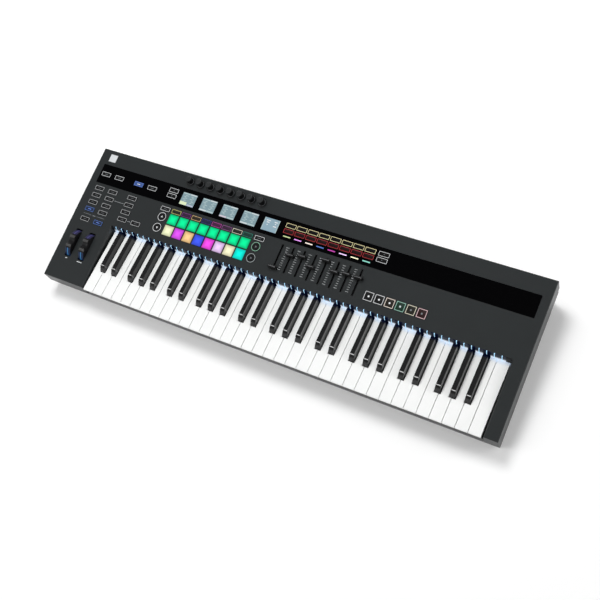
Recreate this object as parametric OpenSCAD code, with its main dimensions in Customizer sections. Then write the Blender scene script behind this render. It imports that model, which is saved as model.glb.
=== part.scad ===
// Sixty-one-key controller keyboard with pads, faders, knobs and two wheels.
// Millimetres, +X to the player's right, +Y to the rear, +Z up.
// The origin is on the table, under the middle of the case.

/* [Case] */
// Width of the block left of the keys
left_block = 100.7; // [98:0.1:110]
// Width of the block right of the keys
right_block = 26.3; // [25:0.1:40]
// Depth of the key opening, along the top face
keys_d = 139.3; // [132:0.1:150]
// Depth of the control panel behind the keys, along the top face
panel_d = 155.7; // [154:0.1:170]
// Height of the top face at its front edge, feet included
front_h = 58; // [56:0.5:64]
// Rise of the top face towards the rear, in degrees
slope = 5.9; // [5:0.1:7]
// Wall of the top case
top_wall = 3; // [2.5:0.1:3.5]
// Depth of the top case's skirt, down to the seam
skirt_h = 30; // [26:1:32]
// Wall of the bottom tray
tray_wall = 2.5; // [2:0.1:3]
// How far the tray stands in from the top case
tray_inset = 1.5; // [1:0.1:2]
// Depth below the top face at which the tray's flanks turn inwards
flank_drop = 46; // [42:1:52]
// Lean of those flanks, in degrees
flank_lean = 26; // [15:1:30]
// How far the foot of the tray's front wall stands back from its top
front_lean = 3.5; // [2:0.5:6]
// Chamfer along the top case's edges
edge_chamfer = 1; // [0.5:0.1:1.5]
// Height of the rubber feet
foot_h = 4; // [3:0.5:6]
// Diameter of the rubber feet
foot_dia = 20; // [14:1:24]

/* [Keys] */
// Pitch of the white keys
white_pitch = 23.5; // [22.5:0.1:24]
// Gap between two keys
key_gap = 1; // [0.8:0.1:1.2]
// Gap between the key row and the blocks beside it
key_side_gap = 3; // [2:0.5:4]
// How far the white keys stand out in front of the case
key_proud = 1.5; // [0.5:0.5:3]
// How far the key tops lie below the top face's front edge
key_sink = 1; // [0:0.5:2]
// Thickness of a key's top plate
key_plate = 3; // [2.5:0.1:3.5]
// Thickness of a key's side walls
key_wall = 2; // [1.6:0.1:2.4]
// Height of a white key's body, top to bottom
key_body_h = 14; // [13:0.5:15]
// Height of a white key's front lip
key_lip_h = 5; // [4:0.5:6]
// Overhang of a white key's lip in front of its body
key_overhang = 14; // [13:0.5:16]
// Width of a black key at its foot
black_w = 11; // [10:0.1:11.4]
// Width of a black key at its top
black_top_w = 9.5; // [8:0.1:10]
// Height of the black keys above the white ones
black_rise = 12; // [10:0.5:12.5]
// Length of a white key in front of the black keys
white_head = 47; // [44:0.5:52]
// Shift of the black keys to the right of an even spread
black_shift = 1.8; // [1:0.1:2.2]
// Dip of a key at its front edge
key_dip = 10; // [8:0.5:11]
// Reach from a white key's front edge to its pivot
pivot_reach = 195; // [190:1:198]
// Diameter of the pivot rod
rod_dia = 4; // [3:0.5:5]
// Width of a key's tail at the pivot
tail_w = 10.5; // [9:0.5:11]
// Thickness of the key felts
felt_t = 2.5; // [2:0.5:3]
// Diameter of a key's return spring
spring_dia = 5; // [4:0.5:6]

/* [Panel controls] */
// Width of the small buttons
button_w = 22.4; // [18:0.1:22.6]
// Depth of the small buttons
button_d = 10; // [8:0.1:10.4]
// Corner radius of buttons and pads
corner_r = 1.4; // [0.8:0.1:2]
// Height of buttons above the panel
button_rise = 1; // [0.9:0.1:1.5]
// Travel of buttons and pads
press_travel = 0.8; // [0.5:0.1:0.8]
// Gap around buttons and pads in the panel
press_gap = 0.35; // [0.3:0.05:0.5]
// Size of a pad
pad_size = 21.8; // [20:0.1:22]
// Height of the pads above the panel
pad_rise = 1.6; // [1:0.1:2.5]
// Pitch of pads, knobs, soft buttons and faders
strip_pitch = 24; // [23.8:0.1:24.2]
// Diameter of the round scene buttons
scene_dia = 19.6; // [16:0.1:20]
// Size of a transport button
transport_size = 18.2; // [16:0.1:19]
// Pitch of the transport buttons
transport_pitch = 20.8; // [20.4:0.1:21.5]
// Diameter of a knob's grip at its foot
knob_dia = 13.4; // [11:0.1:15]
// Height of a knob above the panel
knob_h = 15; // [12:0.5:17]
// Diameter of a knob's skirt
knob_skirt_dia = 18; // [16:0.5:20]
// Diameter of a knob's shaft
knob_shaft_dia = 6; // [5:0.5:7]
// Travel of a fader
fader_travel = 45; // [40:1:46]
// Width of a fader cap
fader_cap_w = 17; // [14:0.5:19]
// Depth of a fader cap
fader_cap_d = 6; // [5:0.5:7]
// Height of a fader cap above the panel
fader_cap_h = 10; // [8:0.5:12]
// Width of a fader's slot in the panel
fader_slot_w = 3; // [2.4:0.1:4]
// Radius of the wheels
wheel_r = 33; // [30:0.5:35]
// Width of a wheel
wheel_w = 13.5; // [12:0.5:14]
// Depth of the wheels' axis below the panel
wheel_sink = 19; // [17:0.5:22]
// Length of a wheel's slot
wheel_slot_l = 61.8; // [61:0.1:66]
// Width of a wheel's slot
wheel_slot_w = 15.5; // [15:0.1:17]
// Diameter of the wheels' shaft
wheel_shaft_dia = 6; // [4:0.5:8]

/* [Display window] */
// Margin from the case's sides to the window
window_margin = 16.7; // [12:0.1:18]
// Distance from the row of track buttons to the window
window_gap = 6.3; // [5.6:0.1:8.6]
// Depth of the window
window_d = 43; // [42:0.1:46]
// Thickness of the window
window_t = 2; // [1.5:0.1:2]
// Width of a screen
screen_w = 35; // [32:0.1:38]
// Depth of a screen
screen_d = 28.4; // [26:0.1:30]

/* [Boards and sockets] */
// Depth from the panel's top face to the control board
board_drop = 15; // [14:0.5:16]
// Thickness of the circuit boards
board_t = 1.6; // [1:0.1:2]
// Height of the main board above the tray's floor
main_board_lift = 9.5; // [8:0.5:12]
// Height of the socket axes above the main board
socket_lift = 8.4; // [8:0.1:9]
// How far the jack sleeves stand out behind the case
sleeve_proud = 1.5; // [0.5:0.5:3]
// Bore of the pedal jacks
pedal_bore = 6.5; // [6.4:0.05:6.6]
// Bore of the control voltage jacks
cv_bore = 3.6; // [3.55:0.05:3.7]

/* [Hidden] */
$fn = 48;
PITCH_NAMES = ["c", "c_sharp", "d", "d_sharp", "e", "f", "f_sharp", "g", "g_sharp", "a", "a_sharp", "b"];
STATIC_NODES = ["top_case", "bottom_tray", "display_window", "lcd_modules", "key_chassis", "key_pivot_rod",
    "key_felts", "key_springs", "contact_board", "contact_strip", "key_light_guide", "panel_board",
    "encoder_bodies", "fader_bodies", "wheel_bracket", "main_board", "midi_sockets", "jack_sockets",
    "usb_socket", "power_fittings", "feet", "screws"];
MOVING_NODES = ["pitch_wheel", "mod_wheel", "pads", "window_buttons", "function_buttons", "track_buttons",
    "scene_buttons", "soft_buttons", "transport_buttons", "power_switch"];

// Counts of the keyboard's layout
octaves = 5;
whites = 7 * octaves + 1;
semitones = 12 * octaves + 1;
strips = 8;
screens = 5;

// Clearances
run_gap = 0.05;
stop_gap = 0.3;
seat_gap = 0.3;
eps = 0.01;
far = 400;

// Main box of the case
key_row_w = whites * white_pitch;
opening_w = key_row_w + 2 * key_side_gap;
case_w = left_block + opening_w + right_block;
panel_l = keys_d + panel_d;
case_d = panel_l * cos(slope);
left_x = -case_w / 2;
right_x = case_w / 2;
front_y = -case_d / 2;
rear_y = case_d / 2;
plate_v = top_wall / cos(slope);
floor_z = foot_h;
floor_top = foot_h + tray_wall;
open_x0 = left_x + left_block;
open_x1 = open_x0 + opening_w;
rear_face = rear_y - tray_inset;
function top_z(y) = front_h + (y - front_y) * tan(slope);
function seam_z(y) = top_z(y) - skirt_h;
function top_point(v, w) = [
    front_y + v * cos(slope) - w * sin(slope),
    front_h + v * sin(slope) + w * cos(slope)];

// Heights and places of the keyboard
keys_x = open_x0 + key_side_gap;
key_top = front_h - key_sink;
key_bottom = key_top - key_body_h;
key_front = front_y - key_proud;
black_front = key_front + white_head;
head_end = black_front - key_gap;
octave_w = 7 * white_pitch;
slot_pitch = octave_w / 12;
pivot_y = key_front + pivot_reach;
pivot_drop = 3;
pivot_z = key_bottom - pivot_drop;
tail_drop = 7;
tail_top = key_top - tail_drop;
pivot_cover = 3;
tail_bottom = pivot_z - rod_dia / 2 - pivot_cover;
tail_fore = 16;
tail_aft = 21;
tail_start = pivot_y - tail_fore;
tail_end = pivot_y + tail_aft;
dip_angle = asin(key_dip / pivot_reach);
function dip_at(y) = (pivot_y - y) * sin(dip_angle);
black_names = [1, 3, 6, 8, 10];
white_steps = [0, 2, 4, 5, 7, 9, 11];
function is_black(pc) = len(search(pc, black_names)) > 0;
function slot_centre(n) = keys_x + (n + 0.5) * slot_pitch + black_shift;
function white_index(n) = 7 * floor(n / 12) + search(n % 12, white_steps)[0];
function black_after(n) = n < semitones - 1 && is_black((n + 1) % 12);
function black_before(n) = n > 0 && is_black((n + 11) % 12);

// Wall behind the keys, with its light guide, and the slip rail under their fronts
lip_y = front_y + keys_d * cos(slope);
guide_t = 1.6;
guide_lean = 2.4;
lip_in = lip_y + guide_t + top_wall;
lip_z = key_top + 2;
guide_rib_w = 2.2;
guide_rib_t = 0.5;
slip_y = front_y + tray_inset;
slip_top = key_top - key_lip_h - key_dip - 2;
black_end = lip_y - guide_lean - guide_rib_t - 1;
step_y = lip_in + 1;

// Side outline of a black key's front, from its foot: depth and height
black_brow = [[0, 0], [3, 5.6], [6.6, 9.8], [9.6, 11.4], [12.4, 12]];
brow_d = black_brow[4][0];
brow_h = black_brow[4][1];
edge_break = 0.8;
lip_t = 2.5;
plunger_w = 5;
plunger_d = 6;

// Key chassis and what it carries
chassis_t = 2;
chassis_z = floor_top + 5.5;
chassis_top = chassis_z + chassis_t;
chassis_y0 = front_y + 30;
chassis_y1 = tail_end + 4;
chassis_x0 = keys_x + 1;
chassis_x1 = keys_x + key_row_w - 1;
front_stop_reach = 125;
front_stop_y = pivot_y - front_stop_reach;
front_stop_z = key_bottom - dip_at(front_stop_y) - stop_gap;
rear_stop_reach = 10;
rear_stop_y = pivot_y + rear_stop_reach;
rear_stop_z = tail_bottom - stop_gap;
stop_flange = 8;
spring_reach = 17.5;
spring_y = pivot_y + spring_reach;
spring_wire = 0.8;
contact_reach = 92;
contact_y = pivot_y - contact_reach;
contact_d = 30;
contact_lift = 3;
contact_z = chassis_top + contact_lift;
contact_post_dia = 5;
strip_z = contact_z + board_t;
strip_t = 1;
strip_d = 14;
dome_h = 3.4;
dome_dia = 8;
dome_top = strip_z + strip_t + dome_h;
plunger_bottom = dome_top + dip_at(contact_y) + stop_gap;
upright_t = 2;
upright_step = 6;
uprights = concat([for (k = [0:upright_step:semitones - 1]) k], [semitones]);
function upright_x(k) = slot_centre(k) - slot_pitch / 2 - upright_t / 2;

// Places on the panel: u from the case's left edge, v from the panel's front edge
button_cols = [33.4, 67.4, 117.6, 151.5];
strip_u = 229;
strips_w = (strips - 1) * strip_pitch;
side_us = [strip_u - 27, strip_u + strips_w + 26.4];
screen_end_u = strip_u + (2 * screens - 1.5) * strip_pitch + screen_w / 2;
fader_gap = 13.1;
fader_u = screen_end_u + fader_gap + button_w / 2;
page_us = [side_us[0], fader_u + strips_w + 27.4];
transport_u = fader_u + strips_w + 30.6;
wheel_us = [33.4, 67.6];

// Rows along the panel's depth: shares of it, and what keeps to a row
row_first = 0.1272 * panel_d;
row_pitch = 0.104 * panel_d;
button_rows = [for (i = [0:3]) row_first + i * row_pitch];
track_v = button_rows[3];
pad_gap = 1.5;
pad_rear_v = track_v - button_d / 2 - pad_gap - pad_size / 2;
pad_vs = [pad_rear_v - strip_pitch, pad_rear_v];
window_v = track_v + button_d / 2 + window_gap;
window_mid = window_v + window_d / 2;
soft_rows = [window_mid - 3, window_mid + 8.9];
knob_v = 0.889 * panel_d;
fader_v = 0.2903 * panel_d;
octave_v = -3;
wheel_front = 81.6;
wheel_v = wheel_front - keys_d;
fader_rest = [0, 31, 36, 22, 43, 27, 30, 30];
window_spots = concat(
    [for (u = button_cols) [u, window_mid]],
    [for (u = page_us, v = soft_rows) [u, v]]);
function_spots = concat(
    [for (i = [0:2], v = button_rows) [button_cols[i], v]],
    [[button_cols[3], button_rows[0]]],
    [for (i = [0:1]) [button_cols[i], octave_v]]);
track_spots = concat(
    [for (u = side_us) [u, track_v]],
    [for (i = [0:strips - 1]) [strip_u + i * strip_pitch, track_v]]);
scene_spots = [for (u = side_us, v = pad_vs) [u, v]];
soft_spots = [for (i = [0:strips - 1], v = soft_rows) [fader_u + i * strip_pitch, v]];
transport_spots = [for (i = [0:5]) [transport_u + i * transport_pitch, pad_vs[0]]];
pad_spots = [for (i = [0:strips - 1], v = pad_vs) [strip_u + i * strip_pitch, v]];
cap_foot = top_wall + 1.5;
stem_w = 6;
stem_d = 4;
knob_hole = knob_shaft_dia + 5;
knob_lift = 0.6;
knob_skirt_h = 1.5;
encoder_w = 12;
encoder_h = 6.5;
encoder_floor = 2;
encoder_neck_dia = knob_shaft_dia + 3;
fader_slot_l = fader_travel + 8;
fader_body_w = 9;
fader_body_h = 7;
lever_t = 1.2;
lever_d = 4;
fader_groove = 3;
cap_lift = 1.2;
notch_r = 9;
notch_lift = 3.5;
bracket_t = 3;
bracket_d = 18;
bracket_base_d = 28;
bracket_base_t = 2;
bracket_head = 6;
switch_gap = press_travel + stop_gap;
window_ledge = 3;
lcd_t = 3;
lcd_rim = 2;
lcd_gap = 0.2;
lcd_post_dia = 3;

// Control board and its fixings
board_u0 = 19;
board_end = 24;
board_u1 = transport_u + 5 * transport_pitch + board_end;
board_v0 = 6.5;
board_rear_gap = 7;
board_v1 = panel_d - board_rear_gap;
board_ear_d = 9;
board_ear_v = octave_v - board_ear_d;
board_ear_u1 = left_block - top_wall - 2;
post_dia = 8;
board_post_dia = 6;
board_post_us = [96, 181, (side_us[1] + fader_u) / 2, transport_u - 17.4, board_u1 - 5];
board_post_vs = [board_v0 + 4.5, board_v1 - 3.5];
board_posts = concat(
    [for (u = board_post_us) [u, board_post_vs[0]]],
    [for (i = [0, 1, 2, 4]) [board_post_us[i], board_post_vs[1]]]);

// Screws of the case: wells in the tray, posts in the top case
screw_dia = 2.9;
screw_bore = screw_dia + 2 * run_gap;
screw_head_dia = 5.6;
screw_head_h = 2.2;
screw_l = 9;
short_screw_l = 6;
bore_rest = 1;
well_dia = 7;
well_wall = 1.5;
well_web = 3;
well_drop = 4;
rear_post_y = rear_y - 13;
front_post_y = front_y + 15;
mid_post_y = lip_y - 28;
front_post_us = [14, left_block - 12, case_w - 14];
mid_post_us = [18, case_w - 18];
rear_post_us = [34, 437, 656, case_w - 110, case_w - 34];
case_posts = concat(
    [for (u = front_post_us) [left_x + u, front_post_y]],
    [for (u = mid_post_us) [left_x + u, mid_post_y]],
    [for (u = rear_post_us) [left_x + u, rear_post_y]]);
foot_u = 48;
foot_set = 40;
foot_us = [foot_u, case_w / 2, case_w - foot_u];
foot_ys = [front_y + foot_set, rear_y - foot_set];
chassis_post_set = 12;
chassis_posts = [for (i = [0:4], y = [chassis_y0 + 9, pivot_y - 20])
    [keys_x + chassis_post_set + i * (key_row_w - 2 * chassis_post_set) / 4, y]];

// Rear sockets: u from the case's left edge
main_z = floor_top + main_board_lift;
main_top = main_z + board_t;
socket_z = main_top + socket_lift;
wall_in = rear_face - tray_wall;
main_y0 = wall_in - 48;
main_y1 = wall_in - seat_gap;
main_u0 = 76;
main_u1 = 424;
switch_u = 64;
inlet_u = 88;
usb_u = 116;
midi_us = [148, 177, 206];
pedal_us = [242, 268, 294];
cv_us = [326, 346, 366, 398];
main_posts = [for (u = [main_u0 + 5, (usb_u + midi_us[0]) / 2, cv_us[2] + 16]) [left_x + u, main_y0 + 6]];
chip_us = [200, 250, 300];
chip_w = 12;
chip_h = 1.6;
header_u = 340;
header_w = 26;
header_d = 6;
header_h = 7;
jack_floor = 3;
nut_shy = 0.6;
pedal_sleeve_dia = 9;
pedal_nut_dia = 13;
pedal_body_w = 16;
pedal_body_d = 26;
cv_sleeve_dia = 6;
cv_nut_dia = 8.5;
cv_body_w = 10;
cv_body_d = 13;
din_dia = 15.6;
din_d = 14;
din_body_w = 20;
din_body_d = 10.5;
din_shell_r = 6.75;
din_core_r = 5.9;
din_pin_r = 0.9;
din_pin_ring = 3.75;
din_groove = 8;
usb_w = 12;
usb_h = 11;
usb_d = 16;
usb_mouth_w = 8.6;
usb_mouth_h = 8;
usb_mouth_d = 11;
usb_tongue_w = 5.6;
usb_tongue_h = 3.2;
usb_tongue_set = 4.8;
inlet_w = 10;
inlet_h = 11;
inlet_d = 14;
inlet_hole_r = 3.1;
inlet_hole_d = 10;
inlet_pin_r = 1;
switch_w = 10;
switch_h = 15;
switch_wall = 2;
switch_flange = 1.5;
switch_flange_t = 1;
switch_d = 12;
switch_pin_dia = 2;
switch_tilt = 7;
switch_y = rear_face - 4.5;

// Box from its two corners
module box(a, b) translate(a) cube(b - a);

// Side outline in Y and Z, carried from x0 to x1
module yz_prism(x0, x1, outline)
    translate([x0, 0, 0]) rotate([90, 0, 90]) linear_extrude(x1 - x0) polygon(outline);

// Frame on the top face: u from the left edge, v from the panel's front edge, w above the face
module on_panel(u, v, w = 0)
    translate([left_x, front_y, front_h]) rotate([slope, 0, 0]) translate([u, keys_d + v, w]) children();

// Frame on the rear wall, with its own Z pointing out of the rear
module on_rear(u, z = socket_z) translate([left_x + u, rear_face, z]) rotate([-90, 0, 0]) children();

// Rectangle with rounded corners, centred, standing from z0 to z1
module rounded_block(w, d, z0, z1, r = corner_r) {
    corner = [0, 45, 90];
    points = [for (q = [0:3], a = corner) [
        (q == 0 || q == 3 ? 1 : -1) * (w / 2 - r) + r * cos(a + 90 * q),
        (q < 2 ? 1 : -1) * (d / 2 - r) + r * sin(a + 90 * q)]];
    translate([0, 0, z0]) linear_extrude(z1 - z0) polygon(points);
}

module button_hole(w, d) rounded_block(w + 2 * press_gap, d + 2 * press_gap, -top_wall - 1, 1);

// Push button: cap through the panel and a stem that ends just above the board
module push_button(w, d, rise) {
    rounded_block(w, d, -cap_foot, rise);
    button_stem();
}

module button_stem()
    box([-stem_w / 2, -stem_d / 2, switch_gap - board_drop], [stem_w / 2, stem_d / 2, eps - cap_foot]);

// Top case

module case_edge_cuts() {
    side = edge_chamfer * sqrt(2);
    for (u = [0, case_w]) on_panel(u, -keys_d + panel_l / 2) rotate([0, 45, 0])
        cube([side, panel_l + 20, side], center = true);
    for (v = [-keys_d, panel_d]) on_panel(case_w / 2, v) rotate([45, 0, 0])
        cube([case_w + 20, side, side], center = true);
    for (u = [left_block, left_block + opening_w]) on_panel(u, -keys_d / 2) rotate([0, 45, 0])
        cube([2 * side, keys_d - 2, 2 * side], center = true);
}

module case_cavity(x0, x1, y0, y1)
    yz_prism(x0, x1, [[y0, 0], [y1, 0], [y1, top_z(y1) - plate_v], [y0, top_z(y0) - plate_v]]);

module panel_holes() {
    for (p = function_spots) on_panel(p[0], p[1]) button_hole(button_w, button_d);
    for (p = track_spots) on_panel(p[0], p[1]) button_hole(button_w, button_d);
    for (p = transport_spots) on_panel(p[0], p[1]) button_hole(transport_size, transport_size);
    for (p = pad_spots) on_panel(p[0], p[1]) button_hole(pad_size, pad_size);
    for (p = scene_spots) on_panel(p[0], p[1], -top_wall - 1)
        cylinder(h = top_wall + 2, d = scene_dia + 2 * press_gap);
    for (i = [0:strips - 1]) {
        on_panel(strip_u + i * strip_pitch, knob_v, -top_wall - 1) cylinder(h = top_wall + 2, d = knob_hole);
        on_panel(fader_u + i * strip_pitch, fader_v)
            box([-fader_slot_w / 2, -fader_slot_l / 2, -top_wall - 1],
                [fader_slot_w / 2, fader_slot_l / 2, 1]);
    }
    for (u = wheel_us) on_panel(u, wheel_v)
        rounded_block(wheel_slot_w, wheel_slot_l, -top_wall - 1, 1, corner_r);
    window_seat(0, -window_t, 1);
    window_seat(window_ledge, -top_wall - 1, 1);
}

// Block of the window's outline, drawn in by a margin
module window_seat(inset, z0, z1)
    on_panel(case_w / 2, window_mid)
        rounded_block(case_w - 2 * (window_margin + inset), window_d - 2 * inset, z0, z1, 1);

module top_case() color([0.23, 0.24, 0.24]) difference() {
    union() {
        difference() {
            yz_prism(left_x, right_x, [[front_y, seam_z(front_y)], [rear_y, seam_z(rear_y)],
                [rear_y, top_z(rear_y)], [front_y, front_h]]);
            case_edge_cuts();
            case_cavity(left_x + top_wall, right_x - top_wall, lip_in, rear_y - top_wall);
            case_cavity(left_x + top_wall, open_x0 - top_wall, front_y + top_wall, lip_in + 1);
            case_cavity(open_x1 + top_wall, right_x - top_wall, front_y + top_wall, lip_in + 1);
            box([open_x0, front_y - 1, 0], [open_x1, lip_y + guide_t, far]);
            box([open_x0, lip_y, 0], [open_x1, lip_in + 1, lip_z]);
            panel_holes();
        }
        for (p = case_posts)
            translate([p[0], p[1], seam_z(p[1]) - well_drop])
                cylinder(h = skirt_h + well_drop - plate_v + 1, d = post_dia);
        for (p = board_posts) on_panel(p[0], p[1], -board_drop)
            cylinder(h = board_drop - top_wall + 1, d = board_post_dia);
    }
    for (p = case_posts)
        translate([p[0], p[1], seam_z(p[1]) - well_drop - 1])
            cylinder(h = screw_l - well_web + bore_rest + 1, d = screw_bore);
    for (p = board_posts) on_panel(p[0], p[1], -board_drop - 1)
        cylinder(h = screw_l - board_t + bore_rest + 1, d = screw_bore);
}

// Bottom tray

// Tray's outside, drawn in by a margin, above the height z0: its side outline, whose front leans
// back, cut to its front outline, whose flanks turn inwards below the drop
module tray_block(inset, z0, rise) {
    y0 = slip_y + inset;
    y1 = rear_face - inset;
    foot_y = y0 + front_lean * (seam_z(front_y) - z0) / (seam_z(front_y) - floor_z);
    u0 = tray_inset + inset;
    low = 2 * flank_drop;
    lean_in = flank_drop * tan(flank_lean);
    intersection() {
        yz_prism(left_x, right_x,
            [[foot_y, z0], [y1, z0], [y1, seam_z(y1) + rise], [y0, seam_z(y0) + rise]]);
        on_panel(0, panel_d + 30) rotate([90, 0, 0]) linear_extrude(panel_l + 60) polygon([
            [u0, 0], [u0, -flank_drop], [u0 + lean_in, -low],
            [case_w - u0 - lean_in, -low], [case_w - u0, -flank_drop], [case_w - u0, 0]]);
    }
}

module socket_cuts() {
    out = tray_wall + 2;
    wider = 2 * seat_gap;
    housing = 2 * switch_wall + wider;
    for (u = midi_us) on_rear(u) cylinder(h = 2 * out, d = din_dia + wider, center = true);
    for (u = pedal_us) on_rear(u) cylinder(h = 2 * out, d = pedal_sleeve_dia + wider, center = true);
    for (u = cv_us) on_rear(u) cylinder(h = 2 * out, d = cv_sleeve_dia + wider, center = true);
    on_rear(inlet_u) rear_block(inlet_w + wider, inlet_h + wider, -out, out);
    on_rear(usb_u) rear_block(usb_w + wider, usb_h + wider, -out, out);
    on_rear(switch_u) rear_block(switch_w + housing, switch_h + housing, -out, out);
}

// Rectangular block along the rear frame's own Z
module rear_block(w, h, z0, z1) translate([-w / 2, -h / 2, z0]) cube([w, h, z1 - z0]);

module bottom_tray() color([0.16, 0.17, 0.17]) difference() {
    union() {
        difference() {
            tray_block(0, floor_z, 0);
            tray_block(tray_wall, floor_top, 1);
        }
        box([open_x0 + key_side_gap / 2, slip_y, seam_z(front_y) - tray_wall],
            [open_x1 - key_side_gap / 2, slip_y + tray_wall, slip_top]);
        for (p = case_posts)
            translate([p[0], p[1], floor_z])
                cylinder(h = seam_z(p[1]) - well_drop - floor_z, d = well_dia + 2 * well_wall);
        for (p = chassis_posts)
            translate([p[0], p[1], floor_z]) cylinder(h = chassis_z - floor_z, d = post_dia);
        for (p = main_posts)
            translate([p[0], p[1], floor_z]) cylinder(h = main_z - floor_z, d = post_dia);
    }
    for (p = case_posts) {
        translate([p[0], p[1], 0]) cylinder(h = seam_z(p[1]) - well_drop - well_web, d = well_dia);
        translate([p[0], p[1], 0]) cylinder(h = far, d = screw_bore);
    }
    for (p = chassis_posts)
        translate([p[0], p[1], chassis_top - short_screw_l - bore_rest]) cylinder(h = far, d = screw_bore);
    for (p = main_posts)
        translate([p[0], p[1], main_top - short_screw_l - bore_rest]) cylinder(h = far, d = screw_bore);
    socket_cuts();
}

module feet() color([0.08, 0.08, 0.08])
    for (u = foot_us, y = foot_ys) translate([left_x + u, y, 0])
        rotate_extrude() polygon([[0, 0], [foot_dia / 2 - 1, 0], [foot_dia / 2, 1],
            [foot_dia / 2, foot_h], [0, foot_h]]);

// Pan head screw, its head's underside at z = 0 and its shank along +Z
module screw(l = screw_l) {
    cylinder(h = l, d = screw_dia);
    translate([0, 0, -screw_head_h]) cylinder(h = screw_head_h, d = screw_head_dia);
}

module screws() color([0.7, 0.7, 0.72]) {
    for (p = case_posts) translate([p[0], p[1], seam_z(p[1]) - well_drop - well_web]) screw();
    for (p = chassis_posts) translate([p[0], p[1], chassis_top]) mirror([0, 0, 1]) screw(short_screw_l);
    for (p = main_posts) translate([p[0], p[1], main_top]) mirror([0, 0, 1]) screw(short_screw_l);
    for (p = board_posts) on_panel(p[0], p[1], -board_drop - board_t) screw();
}

// Display window and screens

module display_window() color([0.02, 0.02, 0.025]) difference() {
    window_seat(seat_gap / 2, -window_t, 0);
    for (p = window_spots) on_panel(p[0], p[1]) button_hole(button_w, button_d);
    for (p = soft_spots) on_panel(p[0], p[1]) button_hole(button_w, button_d);
}

module lcd_modules() color([0.55, 0.62, 0.7]) for (i = [0:screens - 1])
    on_panel(strip_u + (2 * i + 0.5) * strip_pitch, window_mid) {
        face = -window_t - lcd_gap;
        rounded_block(screen_w + 2 * lcd_rim, screen_d + 2 * lcd_rim, face - lcd_t, face, 1);
        for (x = [-1, 1], y = [-1, 1]) translate([x * screen_w / 2, y * screen_d / 2, -board_drop])
            cylinder(h = board_drop + face - lcd_t + eps, d = lcd_post_dia);
    }

// Keys

// Side limits of a white key behind its head
function stem_x0(n) = black_before(n)
    ? slot_centre(n - 1) + black_w / 2 + key_gap
    : keys_x + white_index(n) * white_pitch + key_gap / 2;
function stem_x1(n) = black_after(n)
    ? slot_centre(n + 1) - black_w / 2 - key_gap
    : keys_x + (white_index(n) + 1) * white_pitch - key_gap / 2;

// Tail of a key: pivot block under the panel, and the plunger that hangs from the roof over its contact
module key_tail(n, roof) {
    x = slot_centre(n);
    difference() {
        union() {
            box([x - tail_w / 2, tail_start - key_plate, tail_bottom], [x + tail_w / 2, tail_end, tail_top]);
            box([x - plunger_w / 2, contact_y - plunger_d / 2, plunger_bottom],
                [x + plunger_w / 2, contact_y + plunger_d / 2, roof + eps]);
        }
        translate([x, pivot_y, pivot_z]) rotate([0, 90, 0])
            cylinder(h = tail_w + 2, d = rod_dia + 2 * run_gap, center = true);
    }
}

module white_key(n) {
    x0 = keys_x + white_index(n) * white_pitch + key_gap / 2;
    x1 = x0 + white_pitch - key_gap;
    s0 = stem_x0(n);
    s1 = stem_x1(n);
    body_y = key_front + key_overhang;
    under = key_top - key_plate;
    difference() {
        union() {
            yz_prism(x0, x1, [[key_front, key_top - key_lip_h], [key_front + lip_t, key_top - key_lip_h],
                [key_front + lip_t, under], [body_y, under], [body_y, key_bottom], [head_end, key_bottom],
                [head_end, key_top], [key_front + edge_break, key_top], [key_front, key_top - edge_break]]);
            yz_prism(s0, s1, [[head_end - eps, key_bottom], [tail_start, key_bottom], [tail_start, tail_top],
                [step_y, tail_top], [step_y, key_top], [head_end - eps, key_top]]);
        }
        box([x0 + key_wall, body_y + key_wall, 0], [x1 - key_wall, head_end - key_wall, under]);
        box([s0 + key_wall, head_end - 2 * key_wall, 0], [s1 - key_wall, step_y - key_wall, under]);
        box([s0 + key_wall, step_y - 2 * key_wall, 0],
            [s1 - key_wall, tail_start - key_wall, tail_top - key_plate]);
    }
    key_tail(n, under);
}

// Black key: sloped front with a rounded brow, leaning sides, hollow from below
module black_key(n) {
    x = slot_centre(n);
    foot = black_w / 2;
    head = black_top_w / 2;
    top = key_top + black_rise;
    roof = top - key_plate;
    brow = [for (p = black_brow) [black_front + p[0], key_top + p[1] * black_rise / brow_h]];
    difference() {
        union() {
            intersection() {
                yz_prism(x - black_w, x + black_w, concat([[black_end, key_bottom], [black_end, top]],
                    [for (i = [len(brow) - 1:-1:0]) brow[i]], [[black_front, key_bottom]]));
                translate([x, far / 2, 0]) rotate([90, 0, 0]) linear_extrude(far) polygon([
                    [-foot, key_bottom], [foot, key_bottom], [foot, key_top], [head, top - edge_break],
                    [head - edge_break, top], [edge_break - head, top], [-head, top - edge_break],
                    [-foot, key_top]]);
            }
            box([x - foot, black_end - eps, key_bottom], [x + foot, tail_start, tail_top]);
        }
        box([x - foot + key_wall, black_front + key_wall, 0],
            [x + foot - key_wall, tail_start - key_wall, tail_top - key_plate]);
        box([x - head + key_wall, black_front + brow_d, 0],
            [x + head - key_wall, black_end - key_wall, roof]);
    }
    key_tail(n, roof);
}

// All keys of one pitch class, in every octave
module pitch_keys(pc) color(is_black(pc) ? [0.06, 0.06, 0.065] : [0.94, 0.94, 0.92])
    for (n = [pc:12:semitones - 1])
        if (is_black(pc)) black_key(n);
        else white_key(n);

module key_light_guide() color([0.62, 0.75, 0.92]) {
    face = [[lip_y, top_z(lip_y)], [lip_y - guide_lean, lip_z]];
    back = lip_y + guide_t - eps;
    yz_prism(open_x0 + seat_gap, open_x1 - seat_gap,
        [face[1], [back, lip_z], [back, top_z(back)], face[0]]);
    for (n = [0:semitones - 1])
        yz_prism(slot_centre(n) - guide_rib_w / 2, slot_centre(n) + guide_rib_w / 2,
            [face[1] - [guide_rib_t, 0], face[1] + [guide_rib_t, 0], face[0] + [guide_rib_t, 0],
            face[0] - [guide_rib_t, guide_rib_t]]);
}

// Key chassis and what is on it

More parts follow.
